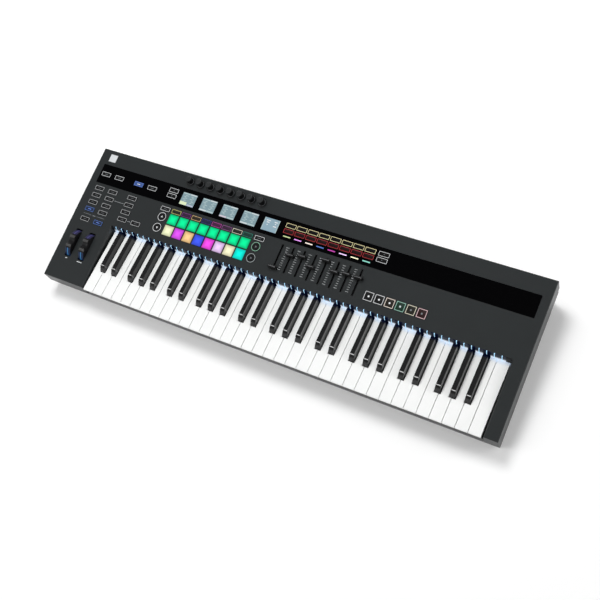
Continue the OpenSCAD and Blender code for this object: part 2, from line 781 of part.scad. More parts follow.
// Upright rail with a flange on top that carries a felt
module stop_rail(y, z) {
    top = z - felt_t;
    box([chassis_x0, y - chassis_t / 2, chassis_top - eps], [chassis_x1, y + chassis_t / 2, top]);
    box([chassis_x0, y - stop_flange / 2, top - chassis_t], [chassis_x1, y + stop_flange / 2, top]);
}

module key_chassis() color([0.6, 0.62, 0.64]) difference() {
    union() {
        box([chassis_x0, chassis_y0, chassis_z], [chassis_x1, chassis_y1, chassis_top]);
        stop_rail(front_stop_y, front_stop_z);
        stop_rail(rear_stop_y, rear_stop_z);
        for (k = uprights)
            box([upright_x(k), pivot_y - rod_dia - 2, chassis_top - eps],
                [upright_x(k) + upright_t, pivot_y + rod_dia + 1, pivot_z + rod_dia + 1]);
        for (i = [0:4], side = [-1, 1])
            translate([chassis_x0 + 10 + i * (key_row_w - 22) / 4,
                contact_y + side * (contact_d - contact_post_dia - 1) / 2, chassis_top - eps])
                cylinder(h = contact_lift + eps, d = contact_post_dia);
    }
    for (k = uprights) translate([upright_x(k) - 1, pivot_y, pivot_z]) rotate([0, 90, 0])
        cylinder(h = upright_t + 2, d = rod_dia + 2 * run_gap);
    for (p = chassis_posts) translate([p[0], p[1], 0]) cylinder(h = chassis_top + 1, d = screw_bore);
}

module key_pivot_rod() color([0.78, 0.78, 0.8])
    translate([upright_x(0) - 2, pivot_y, pivot_z]) rotate([0, 90, 0])
        cylinder(h = upright_x(semitones) - upright_x(0) + upright_t + 4, d = rod_dia);

module key_felts() color([0.55, 0.12, 0.12])
    for (p = [[front_stop_y, front_stop_z], [rear_stop_y, rear_stop_z]])
        box([chassis_x0, p[0] - stop_flange / 2 + 0.5, p[1] - felt_t],
            [chassis_x1, p[0] + stop_flange / 2 - 0.5, p[1]]);

module key_springs() color([0.75, 0.75, 0.76]) for (n = [0:semitones - 1])
    translate([slot_centre(n), spring_y, chassis_top]) difference() {
        cylinder(h = tail_bottom - stop_gap - chassis_top, d = spring_dia);
        translate([0, 0, -1]) cylinder(h = far, d = spring_dia - 2 * spring_wire);
    }

module contact_board() color([0.1, 0.32, 0.16])
    box([chassis_x0 + 4, contact_y - contact_d / 2, contact_z],
        [chassis_x1 - 4, contact_y + contact_d / 2, strip_z]);

module contact_strip() color([0.3, 0.3, 0.32]) {
    box([chassis_x0 + 5, contact_y - strip_d / 2, strip_z],
        [chassis_x1 - 5, contact_y + strip_d / 2, strip_z + strip_t]);
    for (n = [0:semitones - 1]) translate([slot_centre(n), contact_y, strip_z + strip_t - eps])
        cylinder(h = dome_h + eps, d = dome_dia);
}

// Control board and the parts soldered to it

module panel_board() color([0.1, 0.32, 0.16]) difference() {
    on_panel(0, 0, -board_drop - board_t) {
        box([board_u0, board_v0, 0], [board_u1, board_v1, board_t]);
        box([board_u0, board_ear_v, 0], [board_ear_u1, board_v0 + 1, board_t]);
    }
    for (p = case_posts) translate([p[0], p[1], 0]) cylinder(h = far, d = post_dia + 2);
    for (p = board_posts) on_panel(p[0], p[1], -board_drop - board_t - 1)
        cylinder(h = board_t + 2, d = screw_bore);
}

module encoder_bodies() color([0.5, 0.5, 0.52]) for (i = [0:strips - 1])
    on_panel(strip_u + i * strip_pitch, knob_v) difference() {
        union() {
            translate([-encoder_w / 2, -encoder_w / 2, -board_drop]) cube([encoder_w, encoder_w, encoder_h]);
            translate([0, 0, -board_drop]) cylinder(h = board_drop - top_wall / 2, d = encoder_neck_dia);
        }
        translate([0, 0, encoder_floor - board_drop])
            cylinder(h = board_drop, d = knob_shaft_dia + 2 * run_gap);
    }

module fader_bodies() color([0.5, 0.5, 0.52]) for (i = [0:strips - 1])
    on_panel(fader_u + i * strip_pitch, fader_v, -board_drop) difference() {
        box([-fader_body_w / 2, -fader_slot_l / 2 - 5, 0],
            [fader_body_w / 2, fader_slot_l / 2 + 5, fader_body_h]);
        box([-lever_t / 2 - seat_gap, -fader_slot_l / 2, fader_body_h - fader_groove],
            [lever_t / 2 + seat_gap, fader_slot_l / 2, fader_body_h + 1]);
    }

// Controls that move

// Knob: flared skirt, tapering grip with a rounded brow, and the shaft below it
module knob(i) color([0.1, 0.1, 0.105]) on_panel(strip_u + (i - 1) * strip_pitch, knob_v) {
    grip = knob_dia / 2;
    skirt = knob_skirt_dia / 2;
    rotate_extrude() polygon([[0, knob_lift], [skirt - 0.4, knob_lift], [skirt, knob_lift + 0.4],
        [skirt, knob_skirt_h], [skirt - 0.6, knob_skirt_h + 0.6],
        [grip + 0.6, knob_skirt_h + 1.1], [grip, knob_skirt_h + 2.1],
        [grip - 0.7, knob_h - 1.2], [grip - 1.1, knob_h - 0.4], [grip - 2, knob_h], [0, knob_h]]);
    translate([0, 0, encoder_floor + stop_gap - board_drop]) cylinder(h = board_drop, d = knob_shaft_dia);
}

// Fader cap: waisted finger grip on a lever through the slot
module fader(i) color([0.08, 0.08, 0.085])
    on_panel(fader_u + (i - 1) * strip_pitch, fader_v - fader_travel / 2 + fader_rest[i - 1]) {
        half = fader_cap_d / 2;
        dished = fader_cap_h - 0.7;
        yz_prism(-fader_cap_w / 2, fader_cap_w / 2, [[-half, cap_lift], [half, cap_lift],
            [half - 0.3, fader_cap_h - 2.5], [half - 1, fader_cap_h], [0.5, dished],
            [-0.5, dished], [1 - half, fader_cap_h], [0.3 - half, fader_cap_h - 2.5]]);
        box([-lever_t / 2, -lever_d / 2, fader_body_h - fader_groove + seat_gap - board_drop],
            [lever_t / 2, lever_d / 2, cap_lift + 1]);
    }

// Wheel with a finger notch at its top
module wheel(u) on_panel(u, wheel_v, -wheel_sink) difference() {
    rotate([0, 90, 0]) cylinder(h = wheel_w, r = wheel_r, center = true, $fn = 96);
    rotate([0, 90, 0]) cylinder(h = wheel_w + 2, d = wheel_shaft_dia + 2 * run_gap, center = true);
    translate([0, 0, wheel_r + notch_lift]) rotate([0, 90, 0])
        cylinder(h = wheel_w + 2, r = notch_r, center = true);
}

module pitch_wheel() color([0.12, 0.12, 0.13]) wheel(wheel_us[0]);
module mod_wheel() color([0.12, 0.12, 0.13]) wheel(wheel_us[1]);

// Bracket on the tray's floor: base, three uprights and the wheels' shaft
module wheel_bracket() color([0.55, 0.56, 0.58]) {
    axis = top_point(keys_d + wheel_v, -wheel_sink);
    gap = wheel_w / 2 + 1;
    us = [wheel_us[0] - gap - bracket_t, (wheel_us[0] + wheel_us[1] - bracket_t) / 2, wheel_us[1] + gap];
    x0 = left_x + us[0];
    x1 = left_x + us[2] + bracket_t;
    for (u = us) box([left_x + u, axis[0] - bracket_d / 2, floor_top],
        [left_x + u + bracket_t, axis[0] + bracket_d / 2, axis[1] + bracket_head]);
    box([x0, axis[0] - bracket_base_d / 2, floor_top],
        [x1, axis[0] + bracket_base_d / 2, floor_top + bracket_base_t]);
    translate([x0, axis[0], axis[1]]) rotate([0, 90, 0]) cylinder(h = x1 - x0, d = wheel_shaft_dia);
}

module pads() color([0.75, 0.95, 0.8]) for (p = pad_spots) on_panel(p[0], p[1])
    push_button(pad_size, pad_size, pad_rise);

module window_buttons() color([0.1, 0.1, 0.11]) for (p = window_spots) on_panel(p[0], p[1])
    push_button(button_w, button_d, button_rise);

module function_buttons() color([0.12, 0.12, 0.13]) for (p = function_spots) on_panel(p[0], p[1])
    push_button(button_w, button_d, button_rise);

module track_buttons() color([0.16, 0.15, 0.12]) for (p = track_spots) on_panel(p[0], p[1])
    push_button(button_w, button_d, button_rise);

module soft_buttons() color([0.2, 0.1, 0.1]) for (p = soft_spots) on_panel(p[0], p[1])
    push_button(button_w, button_d, button_rise);

module transport_buttons() color([0.14, 0.14, 0.15]) for (p = transport_spots) on_panel(p[0], p[1])
    push_button(transport_size, transport_size, button_rise);

module scene_buttons() color([0.14, 0.14, 0.15]) for (p = scene_spots) on_panel(p[0], p[1]) {
    translate([0, 0, -cap_foot]) cylinder(h = cap_foot + button_rise, d = scene_dia);
    button_stem();
}

// Main board and rear sockets

module main_board() color([0.1, 0.32, 0.16]) difference() {
    union() {
        box([left_x + main_u0, main_y0, main_z], [left_x + main_u1, main_y1, main_top]);
        for (u = chip_us) box([left_x + u, main_y0 + 3, main_top - eps],
            [left_x + u + chip_w, main_y0 + 3 + chip_w, main_top + chip_h]);
        box([left_x + header_u, main_y0 + 2, main_top - eps],
            [left_x + header_u + header_w, main_y0 + 2 + header_d, main_top + header_h]);
    }
    for (p = main_posts) translate([p[0], p[1], main_z - 1]) cylinder(h = board_t + 2, d = screw_bore);
}

// Jack: body on the board, threaded sleeve through the wall, ring nut outside it
module jack(body_w, body_d, sleeve_dia, bore, nut_dia) difference() {
    proud = tray_inset + sleeve_proud;
    inner = -tray_wall - seat_gap;
    union() {
        translate([-body_w / 2, -body_w / 2, inner - body_d])
            cube([body_w, body_w / 2 + socket_lift, body_d]);
        translate([0, 0, inner - eps]) cylinder(h = proud - inner + eps, d = sleeve_dia);
        cylinder(h = proud - nut_shy, d = nut_dia);
    }
    translate([0, 0, inner - body_d + jack_floor]) cylinder(h = body_d + far, d = bore);
}

module jack_sockets() color([0.2, 0.2, 0.21]) {
    for (u = pedal_us) on_rear(u)
        jack(pedal_body_w, pedal_body_d, pedal_sleeve_dia, pedal_bore, pedal_nut_dia);
    for (u = cv_us) on_rear(u) jack(cv_body_w, cv_body_d, cv_sleeve_dia, cv_bore, cv_nut_dia);
}

// Five-pole socket: round face with a ring groove for the plug's shell and five pin holes
module midi_sockets() color([0.1, 0.1, 0.11]) for (u = midi_us) on_rear(u) difference() {
    union() {
        translate([0, 0, -din_d]) cylinder(h = din_d, d = din_dia);
        translate([-din_body_w / 2, -din_body_w / 2, -tray_wall - seat_gap - din_body_d])
            cube([din_body_w, din_body_w / 2 + socket_lift, din_body_d]);
    }
    translate([0, 0, -din_groove]) difference() {
        cylinder(h = din_d, r = din_shell_r);
        translate([0, 0, -1]) cylinder(h = din_d + 2, r = din_core_r);
    }
    for (a = [0:45:180]) rotate([0, 0, a]) translate([din_pin_ring, 0, 1 - din_groove])
        cylinder(h = din_d, r = din_pin_r);
}

module usb_socket() color([0.8, 0.8, 0.82]) on_rear(usb_u) difference() {
    union() {
        rear_block(usb_w, usb_h, -usb_d, 0);
        translate([-usb_w / 2, 0, -usb_d]) cube([usb_w, socket_lift, usb_d - tray_wall - seat_gap]);
    }
    difference() {
        rear_block(usb_mouth_w, usb_mouth_h, -usb_mouth_d, 1);
        rear_block(usb_tongue_w, usb_tongue_h, -usb_mouth_d - 1, -usb_tongue_set);
    }
}

// Barrel inlet with its centre pin, and the housing of the power switch with the rocker's pin
module power_fittings() color([0.1, 0.1, 0.11]) {
    on_rear(inlet_u) difference() {
        union() {
            rear_block(inlet_w, inlet_h, -inlet_d, 0);
            translate([-inlet_w / 2, 0, -inlet_d])
                cube([inlet_w, socket_lift, inlet_d - tray_wall - seat_gap]);
        }
        translate([0, 0, -inlet_hole_d]) difference() {
            cylinder(h = inlet_d, r = inlet_hole_r);
            translate([0, 0, -1]) cylinder(h = inlet_hole_d, r = inlet_pin_r);
        }
    }
    on_rear(switch_u) difference() {
        housing = 2 * switch_wall;
        flange = housing + 2 * switch_flange;
        union() {
            rear_block(switch_w + housing, switch_h + housing, -switch_d, eps);
            rear_block(switch_w + flange, switch_h + flange, 0, switch_flange_t);
        }
        rear_block(switch_w + 2 * seat_gap, switch_h + 2 * seat_gap, switch_wall - switch_d, far);
    }
    translate([left_x + switch_u, switch_y, socket_z]) rotate([0, 90, 0])
        cylinder(h = switch_w + switch_wall, d = switch_pin_dia, center = true);
}

// Rocker, resting with its lower end pressed in
module power_switch() color([0.14, 0.14, 0.15]) translate([left_x + switch_u, switch_y, socket_z])
    rotate([-switch_tilt, 0, 0]) difference() {
        tip = switch_h / 2 - 0.8;
        yz_prism(-switch_w / 2, switch_w / 2, [[-3, -3], [-3, 3], [4, tip], [5.4, tip - 0.4], [4.6, 0],
            [5.4, -tip + 0.4], [4, -tip]]);
        rotate([0, 90, 0]) cylinder(h = switch_w + 2, d = switch_pin_dia + 2 * run_gap, center = true);
    }

top_case();
bottom_tray();
display_window();
lcd_modules();
key_chassis();
key_pivot_rod();
key_felts();
key_springs();
contact_board();
contact_strip();
key_light_guide();
panel_board();
encoder_bodies();
fader_bodies();
wheel_bracket();
main_board();
midi_sockets();
jack_sockets();
usb_socket();
power_fittings();
feet();
screws();
pitch_wheel();
mod_wheel();
pads();
window_buttons();
function_buttons();
track_buttons();
scene_buttons();
soft_buttons();
transport_buttons();
power_switch();
for (pc = [0:11]) pitch_keys(pc);
for (i = [1:strips]) knob(i);
for (i = [1:strips]) fader(i);
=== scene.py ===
"""Looks of a sixty-one-key controller keyboard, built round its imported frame.

Shapes are worked out in millimetres and become metres, the frame's unit, when their mesh is made.
Places on the sloped top face are (u, v, w): u from the case's left edge, v from the panel's front
edge towards the rear, w above the face.
"""

import logging
import math
from dataclasses import dataclass, replace
from enum import Enum, IntEnum
from typing import Any, Mapping, Sequence

import bpy
import numpy as np
from mathutils import Euler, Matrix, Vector


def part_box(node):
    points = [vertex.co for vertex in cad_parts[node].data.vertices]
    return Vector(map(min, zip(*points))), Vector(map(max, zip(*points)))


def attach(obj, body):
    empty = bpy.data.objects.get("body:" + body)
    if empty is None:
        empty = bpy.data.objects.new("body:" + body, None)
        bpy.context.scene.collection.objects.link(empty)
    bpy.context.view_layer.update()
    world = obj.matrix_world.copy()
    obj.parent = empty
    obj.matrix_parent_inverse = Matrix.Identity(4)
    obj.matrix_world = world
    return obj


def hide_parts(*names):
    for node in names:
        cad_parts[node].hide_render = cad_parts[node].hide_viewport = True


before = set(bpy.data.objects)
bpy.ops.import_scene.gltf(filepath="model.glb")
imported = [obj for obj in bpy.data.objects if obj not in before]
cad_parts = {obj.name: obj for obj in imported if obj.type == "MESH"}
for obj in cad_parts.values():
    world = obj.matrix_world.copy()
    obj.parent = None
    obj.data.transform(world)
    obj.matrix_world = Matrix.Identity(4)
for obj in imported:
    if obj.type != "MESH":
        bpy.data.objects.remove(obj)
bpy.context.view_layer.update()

MM = 0.001
PER_METRE = 1000
OCTAVE = 12
TINT, GLOW = "tint", "glow"
LOG = logging.getLogger("keyboard")
Colour = tuple[float, float, float]
BLACK: Colour = (0, 0, 0)


def linear(red: float, green: float, blue: float) -> Colour:
    """Linear light of an 8-bit display colour, by the display's own curve.

    Args:
        red, green, blue: Parts of the display colour, 0 to 255.

    Returns:
        The three parts in linear light.
    """
    part = np.array([red, green, blue]) / 255
    curve = np.where(part <= 0.04045, part / 12.92, ((part + 0.055) / 1.055) ** 2.4)
    return tuple(float(c) for c in curve)


class Lamp(Enum):
    """Light colours of the controls, as 8-bit display values."""

    OFF = (0, 0, 0)
    WHITE = (236, 238, 240)
    GREY = (120, 124, 128)
    BLUE = (80, 114, 184)
    GREEN = (0, 246, 158)
    MINT = (156, 214, 184)
    LEAF = (58, 156, 114)
    SAGE = (150, 198, 180)
    STRAW = (246, 250, 206)
    VIOLET = (226, 84, 246)
    PURPLE = (122, 52, 132)
    PEACH = (252, 208, 146)
    AMBER = (222, 186, 128)
    SAND = (244, 230, 218)
    ROYAL = (66, 92, 248)
    INDIGO = (50, 54, 126)
    PINK = (250, 78, 238)
    MAGENTA = (186, 66, 164)
    LILAC = (238, 206, 252)
    MAUVE = (146, 84, 146)
    CREAM = (250, 246, 206)
    GOLD = (238, 226, 172)
    PEARL = (228, 222, 200)
    OLIVE = (206, 202, 122)
    MOSS = (190, 206, 150)
    ORCHID = (224, 150, 238)
    CYAN = (0, 246, 226)
    TEAL = (36, 120, 104)
    AQUA = (136, 208, 192)
    RED = (170, 44, 50)
    ROSE = (228, 192, 196)
    GLASS = (134, 160, 168)
    HAZE = (178, 200, 202)
    SLATE = (146, 174, 188)
    FROST = (208, 218, 220)
    LIME = (228, 240, 200)
    MIST = (186, 194, 214)
    BLUSH = (214, 204, 216)
    SKY = (108, 142, 232)

    @property
    def light(self) -> np.ndarray:
        """Linear light of the lamp."""
        return np.array(linear(*self.value))


@dataclass(frozen=True)
class Shell:
    """Surface of one or more pieces.

    Attributes:
        points: Points in millimetres, one row each.
        faces: Blocks of faces with equal numbers of corners, as rows of point numbers.
        tones: For each block, the tone number of each face.
        shade: Brightness of the glow at each point.
    """

    points: np.ndarray
    faces: tuple[np.ndarray, ...]
    tones: tuple[np.ndarray, ...]
    shade: np.ndarray

    @staticmethod
    def joined(shells: Sequence["Shell"]) -> "Shell":
        """One shell of several, with their point numbers shifted past each other.

        Args:
            shells: The shells, in order.

        Returns:
            Their points and faces together.
        """
        starts = np.cumsum([0] + [len(shell.points) for shell in shells[:-1]])
        return Shell(
            np.concatenate([shell.points for shell in shells]),
            tuple(rows + start for shell, start in zip(shells, starts) for rows in shell.faces),
            tuple(rows for shell in shells for rows in shell.tones),
            np.concatenate([shell.shade for shell in shells]),
        )

    def toned(self, tone: int) -> "Shell":
        """The same shell with one tone number on every face."""
        return replace(self, tones=tuple(np.full_like(rows, tone) for rows in self.tones))

    def tones_from(self, start: int) -> "Shell":
        """The same shell with its tone numbers counted from a start."""
        return replace(self, tones=tuple(rows + start for rows in self.tones))

    def repeated(self, places: np.ndarray, sizes: np.ndarray | None, tone_count: int) -> "Shell":
        """Copies of the shell, each with tone numbers of its own.

        Point p of copy k lies at places[k] + sizes[k] * p, and its tones start at k * tone_count.

        Args:
            places: Place of each copy, one row each.
            sizes: Factor of each copy along the three axes, or None for copies of the same size.
            tone_count: Number of tones that one copy uses.

        Returns:
            The copies as one shell.
        """
        copies = len(places)
        factor = np.ones((copies, 3)) if sizes is None else np.asarray(sizes, float)
        points = self.points[None] * factor[:, None] + np.asarray(places, float)[:, None]
        step = np.arange(copies)[:, None]
        shift = step[..., None] * len(self.points)
        return Shell(
            points.reshape(-1, 3),
            tuple((rows[None] + shift).reshape(-1, rows.shape[1]) for rows in self.faces),
            tuple((rows[None] + step * tone_count).ravel() for rows in self.tones),
            np.tile(self.shade, copies),
        )


def loft(
    rings: np.ndarray,
    tones: Any = 0,
    caps: tuple[int | None, int | None] = (0, 0),
    wrap: bool = False,
    shade: np.ndarray | None = None,
) -> Shell:
    """Skin over a stack of rings: neighbouring points of neighbouring rings make four-sided faces.

    Rings run anticlockwise when seen from the end that the stack grows towards, so faces point out.

    Args:
        rings: Points as levels by places round the ring by three.
        tones: Tone of each face, as a number or an array that spreads over bands by places.
        caps: Tones of the faces that close the first and the last ring, or None for an open end.
        wrap: Whether the last ring joins the first one.
        shade: Glow brightness of each level.

    Returns:
        The skin.
    """
    levels, around = rings.shape[:2]
    index = np.arange(levels * around).reshape(levels, around)
    upper = np.roll(index, -1, axis=0) if wrap else index[1:]
    lower = index if wrap else index[:-1]
    quads = np.stack([lower, np.roll(lower, -1, 1), np.roll(upper, -1, 1), upper], -1)
    bands = np.broadcast_to(np.asarray(tones, int), quads.shape[:2])
    faces, face_tones = [quads.reshape(-1, 4)], [bands.ravel()]
    for cap, ring in zip(caps, (index[0, ::-1], index[-1])):
        if cap is not None and not wrap:
            faces.append(ring[None])
            face_tones.append(np.array([cap]))
    level_shade = np.ones(levels) if shade is None else np.asarray(shade, float)
    point_shade = np.repeat(level_shade, around)
    return Shell(rings.reshape(-1, 3), tuple(faces), tuple(face_tones), point_shade)


def column(tones: Any) -> np.ndarray:
    """Tones of a loft's bands as a column that spreads round every ring."""
    return np.asarray(tones, int)[:, None]


def rounded_rings(width: float, depth: float, radius: float, profile: Any, steps: int = 4,
                  least: float = 0.12) -> np.ndarray:
    """Rings of a rounded rectangle that follow a profile of insets and heights.

    Each corner is a quarter circle of the radius less the inset, about a centre drawn in by both.

    Args:
        width, depth: Size of the outermost ring.
        radius: Its corner radius.
        profile: Inset and height of each ring.
        steps: Points of a corner, less one.
        least: Radius that no corner falls below.

    Returns:
        Rings as levels by places by three.
    """
    inset, height = np.asarray(profile, float).T
    round_r = np.maximum(radius - inset, least)
    turn = np.radians(np.linspace(0, 90, steps + 1)[None] + 90 * np.arange(4)[:, None]).ravel()
    side_x = np.repeat([1, -1, -1, 1], steps + 1)
    side_y = np.repeat([1, 1, -1, -1], steps + 1)
    x = side_x * (width / 2 - inset - round_r)[:, None] + round_r[:, None] * np.cos(turn)
    y = side_y * (depth / 2 - inset - round_r)[:, None] + round_r[:, None] * np.sin(turn)
    return np.stack([x, y, np.broadcast_to(height[:, None], x.shape)], -1)


def turned_rings(profile: Any, places: int, flutes: int = 0, depth: Any = 0.0) -> np.ndarray:
    """Rings of a turned form: each has its profile's radius, waved by flutes round the axis.

    Args:
        profile: Radius and height of each ring.
        places: Points round a ring.
        flutes: Number of flutes round the form.
        depth: Depth of the flutes at each ring.

    Returns:
        Rings as levels by places by three.
    """
    radius, height = np.asarray(profile, float).T
    turn = np.linspace(0, 2 * np.pi, places, endpoint=False)
    wave = (np.cos(flutes * turn) - 1) / 2 if flutes else np.zeros(places)
    reach = radius[:, None] + np.broadcast_to(depth, radius.shape)[:, None] * wave
    flat = np.broadcast_to(height[:, None], reach.shape)
    return np.stack([reach * np.cos(turn), reach * np.sin(turn), flat], -1)


def drawn_in(outline: np.ndarray, inset: float) -> np.ndarray:
    """Outline moved inwards by the same distance on every side.

    A corner moves by the sum of its two sides' inward normals over one plus their product.

    Args:
        outline: Corners, anticlockwise.
        inset: Distance, inwards.

    Returns:
        The corners of the smaller outline.
    """
    ahead = np.roll(outline, -1, 0) - outline
    ahead = ahead / np.linalg.norm(ahead, axis=1, keepdims=True)
    normal = np.stack([-ahead[:, 1], ahead[:, 0]], 1)
    before = np.roll(normal, 1, 0)
    share = 1 + (normal * before).sum(1, keepdims=True)
    return outline + inset * (normal + before) / share


def stacked(outline: np.ndarray, profile: Any) -> np.ndarray:
    """Rings of an outline that follow a profile of insets and heights."""
    return np.stack([np.column_stack([drawn_in(outline, inset), np.full(len(outline), height)])
                     for inset, height in profile])


def block(x0: float, x1: float, y0: float, y1: float, z0: float, z1: float,
          edge: float = 0.4) -> Shell:
    """Box from its limits, with its upright and upper edges broken.

    Args:
        x0, x1, y0, y1, z0, z1: Its limits along the three axes.
        edge: Width of the broken edges.

    Returns:
        A loft of rounded rectangles that draw in at the top.
    """
    soft = 0.3 * edge
    profile = [(0, z0), (0, z1 - edge), (soft, z1 - soft), (edge, z1)]
    box = loft(rounded_rings(x1 - x0, y1 - y0, edge, profile, 1))
    return replace(box, points=box.points + np.array([(x0 + x1) / 2, (y0 + y1) / 2, 0]))


class Signal:
    """Number that varies over a surface: arithmetic on it adds Math nodes."""

    def __init__(self, paint: "Paint", socket: bpy.types.NodeSocket) -> None:
        """Wraps an output socket of a paint's node tree."""
        self.paint = paint
        self.socket = socket

    def math(self, operation: str, *values: Any) -> "Signal":
        """Result of a Math node on the given values."""
        made = self.paint.add("ShaderNodeMath", {"operation": operation}, dict(enumerate(values)))
        return Signal(self.paint, made.outputs[0])

    def __add__(self, other: Any) -> "Signal":
        """Sum."""
        return self.math("ADD", self, other)

    __radd__ = __add__

    def __sub__(self, other: Any) -> "Signal":
        """Difference."""
        return self.math("SUBTRACT", self, other)

    def __rsub__(self, other: Any) -> "Signal":
        """Difference from a number."""
        return self.math("SUBTRACT", other, self)

    def __mul__(self, other: Any) -> "Signal":
        """Product."""
        return self.math("MULTIPLY", self, other)

    __rmul__ = __mul__

    def __truediv__(self, other: Any) -> "Signal":
        """Quotient."""
        return self.math("DIVIDE", self, other)

    def __lt__(self, other: Any) -> "Signal":
        """One where the signal is the smaller."""
        return self.math("LESS_THAN", self, other)

    def __gt__(self, other: Any) -> "Signal":
        """One where the signal is the greater."""
        return self.math("GREATER_THAN", self, other)

    def __abs__(self) -> "Signal":
        """Size without its sign."""
        return self.math("ABSOLUTE", self)

    def rounded(self) -> "Signal":
        """Nearest whole number."""
        return self.math("ROUND", self)

    def ramp(self, low: float, high: float) -> "Signal":
        """Rises smoothly from 0 at low to 1 at high.

        Args:
            low, high: Values of the signal where the rise begins and ends.

        Returns:
            The rise, held at 0 before it and at 1 past it.
        """
        made = self.paint.add("ShaderNodeMapRange", {"interpolation_type": "SMOOTHSTEP"},
                              {"Value": self, "From Min": low, "From Max": high})
        return Signal(self.paint, made.outputs[0])

    def between(self, low: float, high: float) -> "Signal":
        """Number that goes from low to high as the signal goes from 0 to 1."""
        return low + (high - low) * self


class Paint:
    """Node tree of a material or of the world.

    MIX_IN and MIX_OUT are numbers of the Mix node's sockets, because their names repeat: factor and
    two colours in, mixed colour out.
    """

    MIX_IN = (0, 6, 7)
    MIX_OUT = 2

    def __init__(self, owner: bpy.types.Material | bpy.types.World) -> None:
        """Takes over the node tree of a material or a world, emptied.

        Args:
            owner: The material or world.
        """
        owner.use_nodes = True
        self.owner = owner
        self.tree = owner.node_tree
        self.tree.nodes.clear()

    @classmethod
    def material(cls, name: str) -> "Paint":
        """Paint of a new material."""
        return cls(bpy.data.materials.new(name))

    def add(self, kind: str, settings: Mapping[str, Any] | None = None,
            sockets: Mapping[Any, Any] | None = None) -> bpy.types.Node:
        """Adds a node, sets it up, then fills its sockets.

        Args:
            kind: Type of the node.
            settings: Properties, set first.
            sockets: Constants, signals or output sockets, by input name or number.

        Returns:
            The node.
        """
        node = self.tree.nodes.new(kind)
        for name, value in (settings or {}).items():
            setattr(node, name, value)
        for key, value in (sockets or {}).items():
            source = value.socket if isinstance(value, Signal) else value
            if isinstance(source, bpy.types.NodeSocket):
                self.tree.links.new(source, node.inputs[key])
            else:
                node.inputs[key].default_value = source
        return node

    def place(self) -> bpy.types.NodeSocket:
        """Object coordinates, in metres."""
        return self.add("ShaderNodeTexCoord").outputs["Object"]

    def axes(self) -> tuple[Signal, Signal, Signal]:
        """Object coordinates as three signals, in millimetres."""
        split = self.add("ShaderNodeSeparateXYZ", None, {0: self.place()})
        return tuple(Signal(self, out) * PER_METRE for out in split.outputs)

    def noise(self, size: float, detail: float = 2.0, stretch: Colour = (1, 1, 1)) -> Signal:
        """Cloudy pattern over Object coordinates.

        Args:
            size: Size of its features, in millimetres.
            detail: Number of finer layers.
            stretch: Factor of the coordinates along the three axes.

        Returns:
            The pattern, from 0 to 1.
        """
        mapped = self.add("ShaderNodeMapping", None, {"Vector": self.place(), "Scale": stretch})
        made = self.add("ShaderNodeTexNoise", None, {
            "Vector": mapped.outputs[0], "Scale": PER_METRE / size, "Detail": detail})
        return Signal(self, made.outputs["Fac"])

    def attribute(self, name: str) -> bpy.types.NodeSocket:
        """Colour attribute of the mesh."""
        return self.add("ShaderNodeAttribute", {"attribute_name": name}).outputs["Color"]

    def mix(self, factor: Any, first: Any, second: Any) -> bpy.types.NodeSocket:
        """Colour between two colours."""
        values = dict(zip(self.MIX_IN, (factor, solid(first), solid(second))))
        return self.add("ShaderNodeMix", {"data_type": "RGBA"}, values).outputs[self.MIX_OUT]

    def scaled(self, colour: Any, factor: Any) -> bpy.types.NodeSocket:
        """Colour times a number."""
        values = {0: colour, "Scale": factor}
        return self.add("ShaderNodeVectorMath", {"operation": "SCALE"}, values).outputs[0]

    def bump(self, height: Signal, depth: float) -> bpy.types.NodeSocket:
        """Normal of a relief of the given depth in millimetres."""
        values = {"Height": height, "Distance": depth * MM, "Strength": 1.0}
        return self.add("ShaderNodeBump", None, values).outputs[0]

    def finish(self, sockets: Mapping[str, Any], shade: Signal | None = None,
               painted_shade_tone: Colour = BLACK) -> bpy.types.Material:
        """Joins the main shader to the output.

        Args:
            sockets: Values and links of the main shader.
            shade: Where given, the share of painted shade: a dark matte mixed over the main shader.
            painted_shade_tone: Matte tone of that painted shade.

        Returns:
            The finished material.
        """
        shader = self.add("ShaderNodeBsdfPrincipled", None,
                          {name: solid(value) for name, value in sockets.items()})
        # painted shade: a dark matte mixed over the main shader where a shade signal is given
        if shade is not None:
            matte = self.add("ShaderNodeBsdfDiffuse", None, {"Color": solid(painted_shade_tone)})
            shader = self.add("ShaderNodeMixShader", None,
                              {0: shade, 1: shader.outputs[0], 2: matte.outputs[0]})
        self.add("ShaderNodeOutputMaterial", None, {"Surface": shader.outputs[0]})
        return self.owner


def solid(value: Any) -> Any:
    """Three-part colours with full cover; anything else as it is."""
    return (*value, 1.0) if isinstance(value, tuple) and len(value) == 3 else value


def dimmed(colour: Colour, factor: float) -> Colour:
    """Colour times a number."""
    return tuple(part * factor for part in colour)


@dataclass(frozen=True)
class Moulded:
    """Moulded plastic or rubber: mottled tone, fine spark-eroded grain, uneven gloss."""

    name: str
    tone: Colour
    mottle: float = 0.08
    rough: tuple[float, float] = (0.42, 0.55)
    grain: float = 0.5
    relief: float = 0.03
    specular: float = 0.3
    cloud: float = 38.0

    def material(self) -> bpy.types.Material:
        """Material whose tone, gloss and relief follow two noises of different size.

        Returns:
            The material.
        """
        paint = Paint.material(self.name)
        cloud, fine = paint.noise(self.cloud, 3), paint.noise(self.grain)
        low, high = (dimmed(self.tone, 1 + side * self.mottle) for side in (-1, 1))
        return paint.finish({
            "Base Color": paint.mix(cloud, low, high),
            "Roughness": fine.between(*self.rough),
            "Normal": paint.bump(fine, self.relief),
            "Specular IOR Level": self.specular,
        })


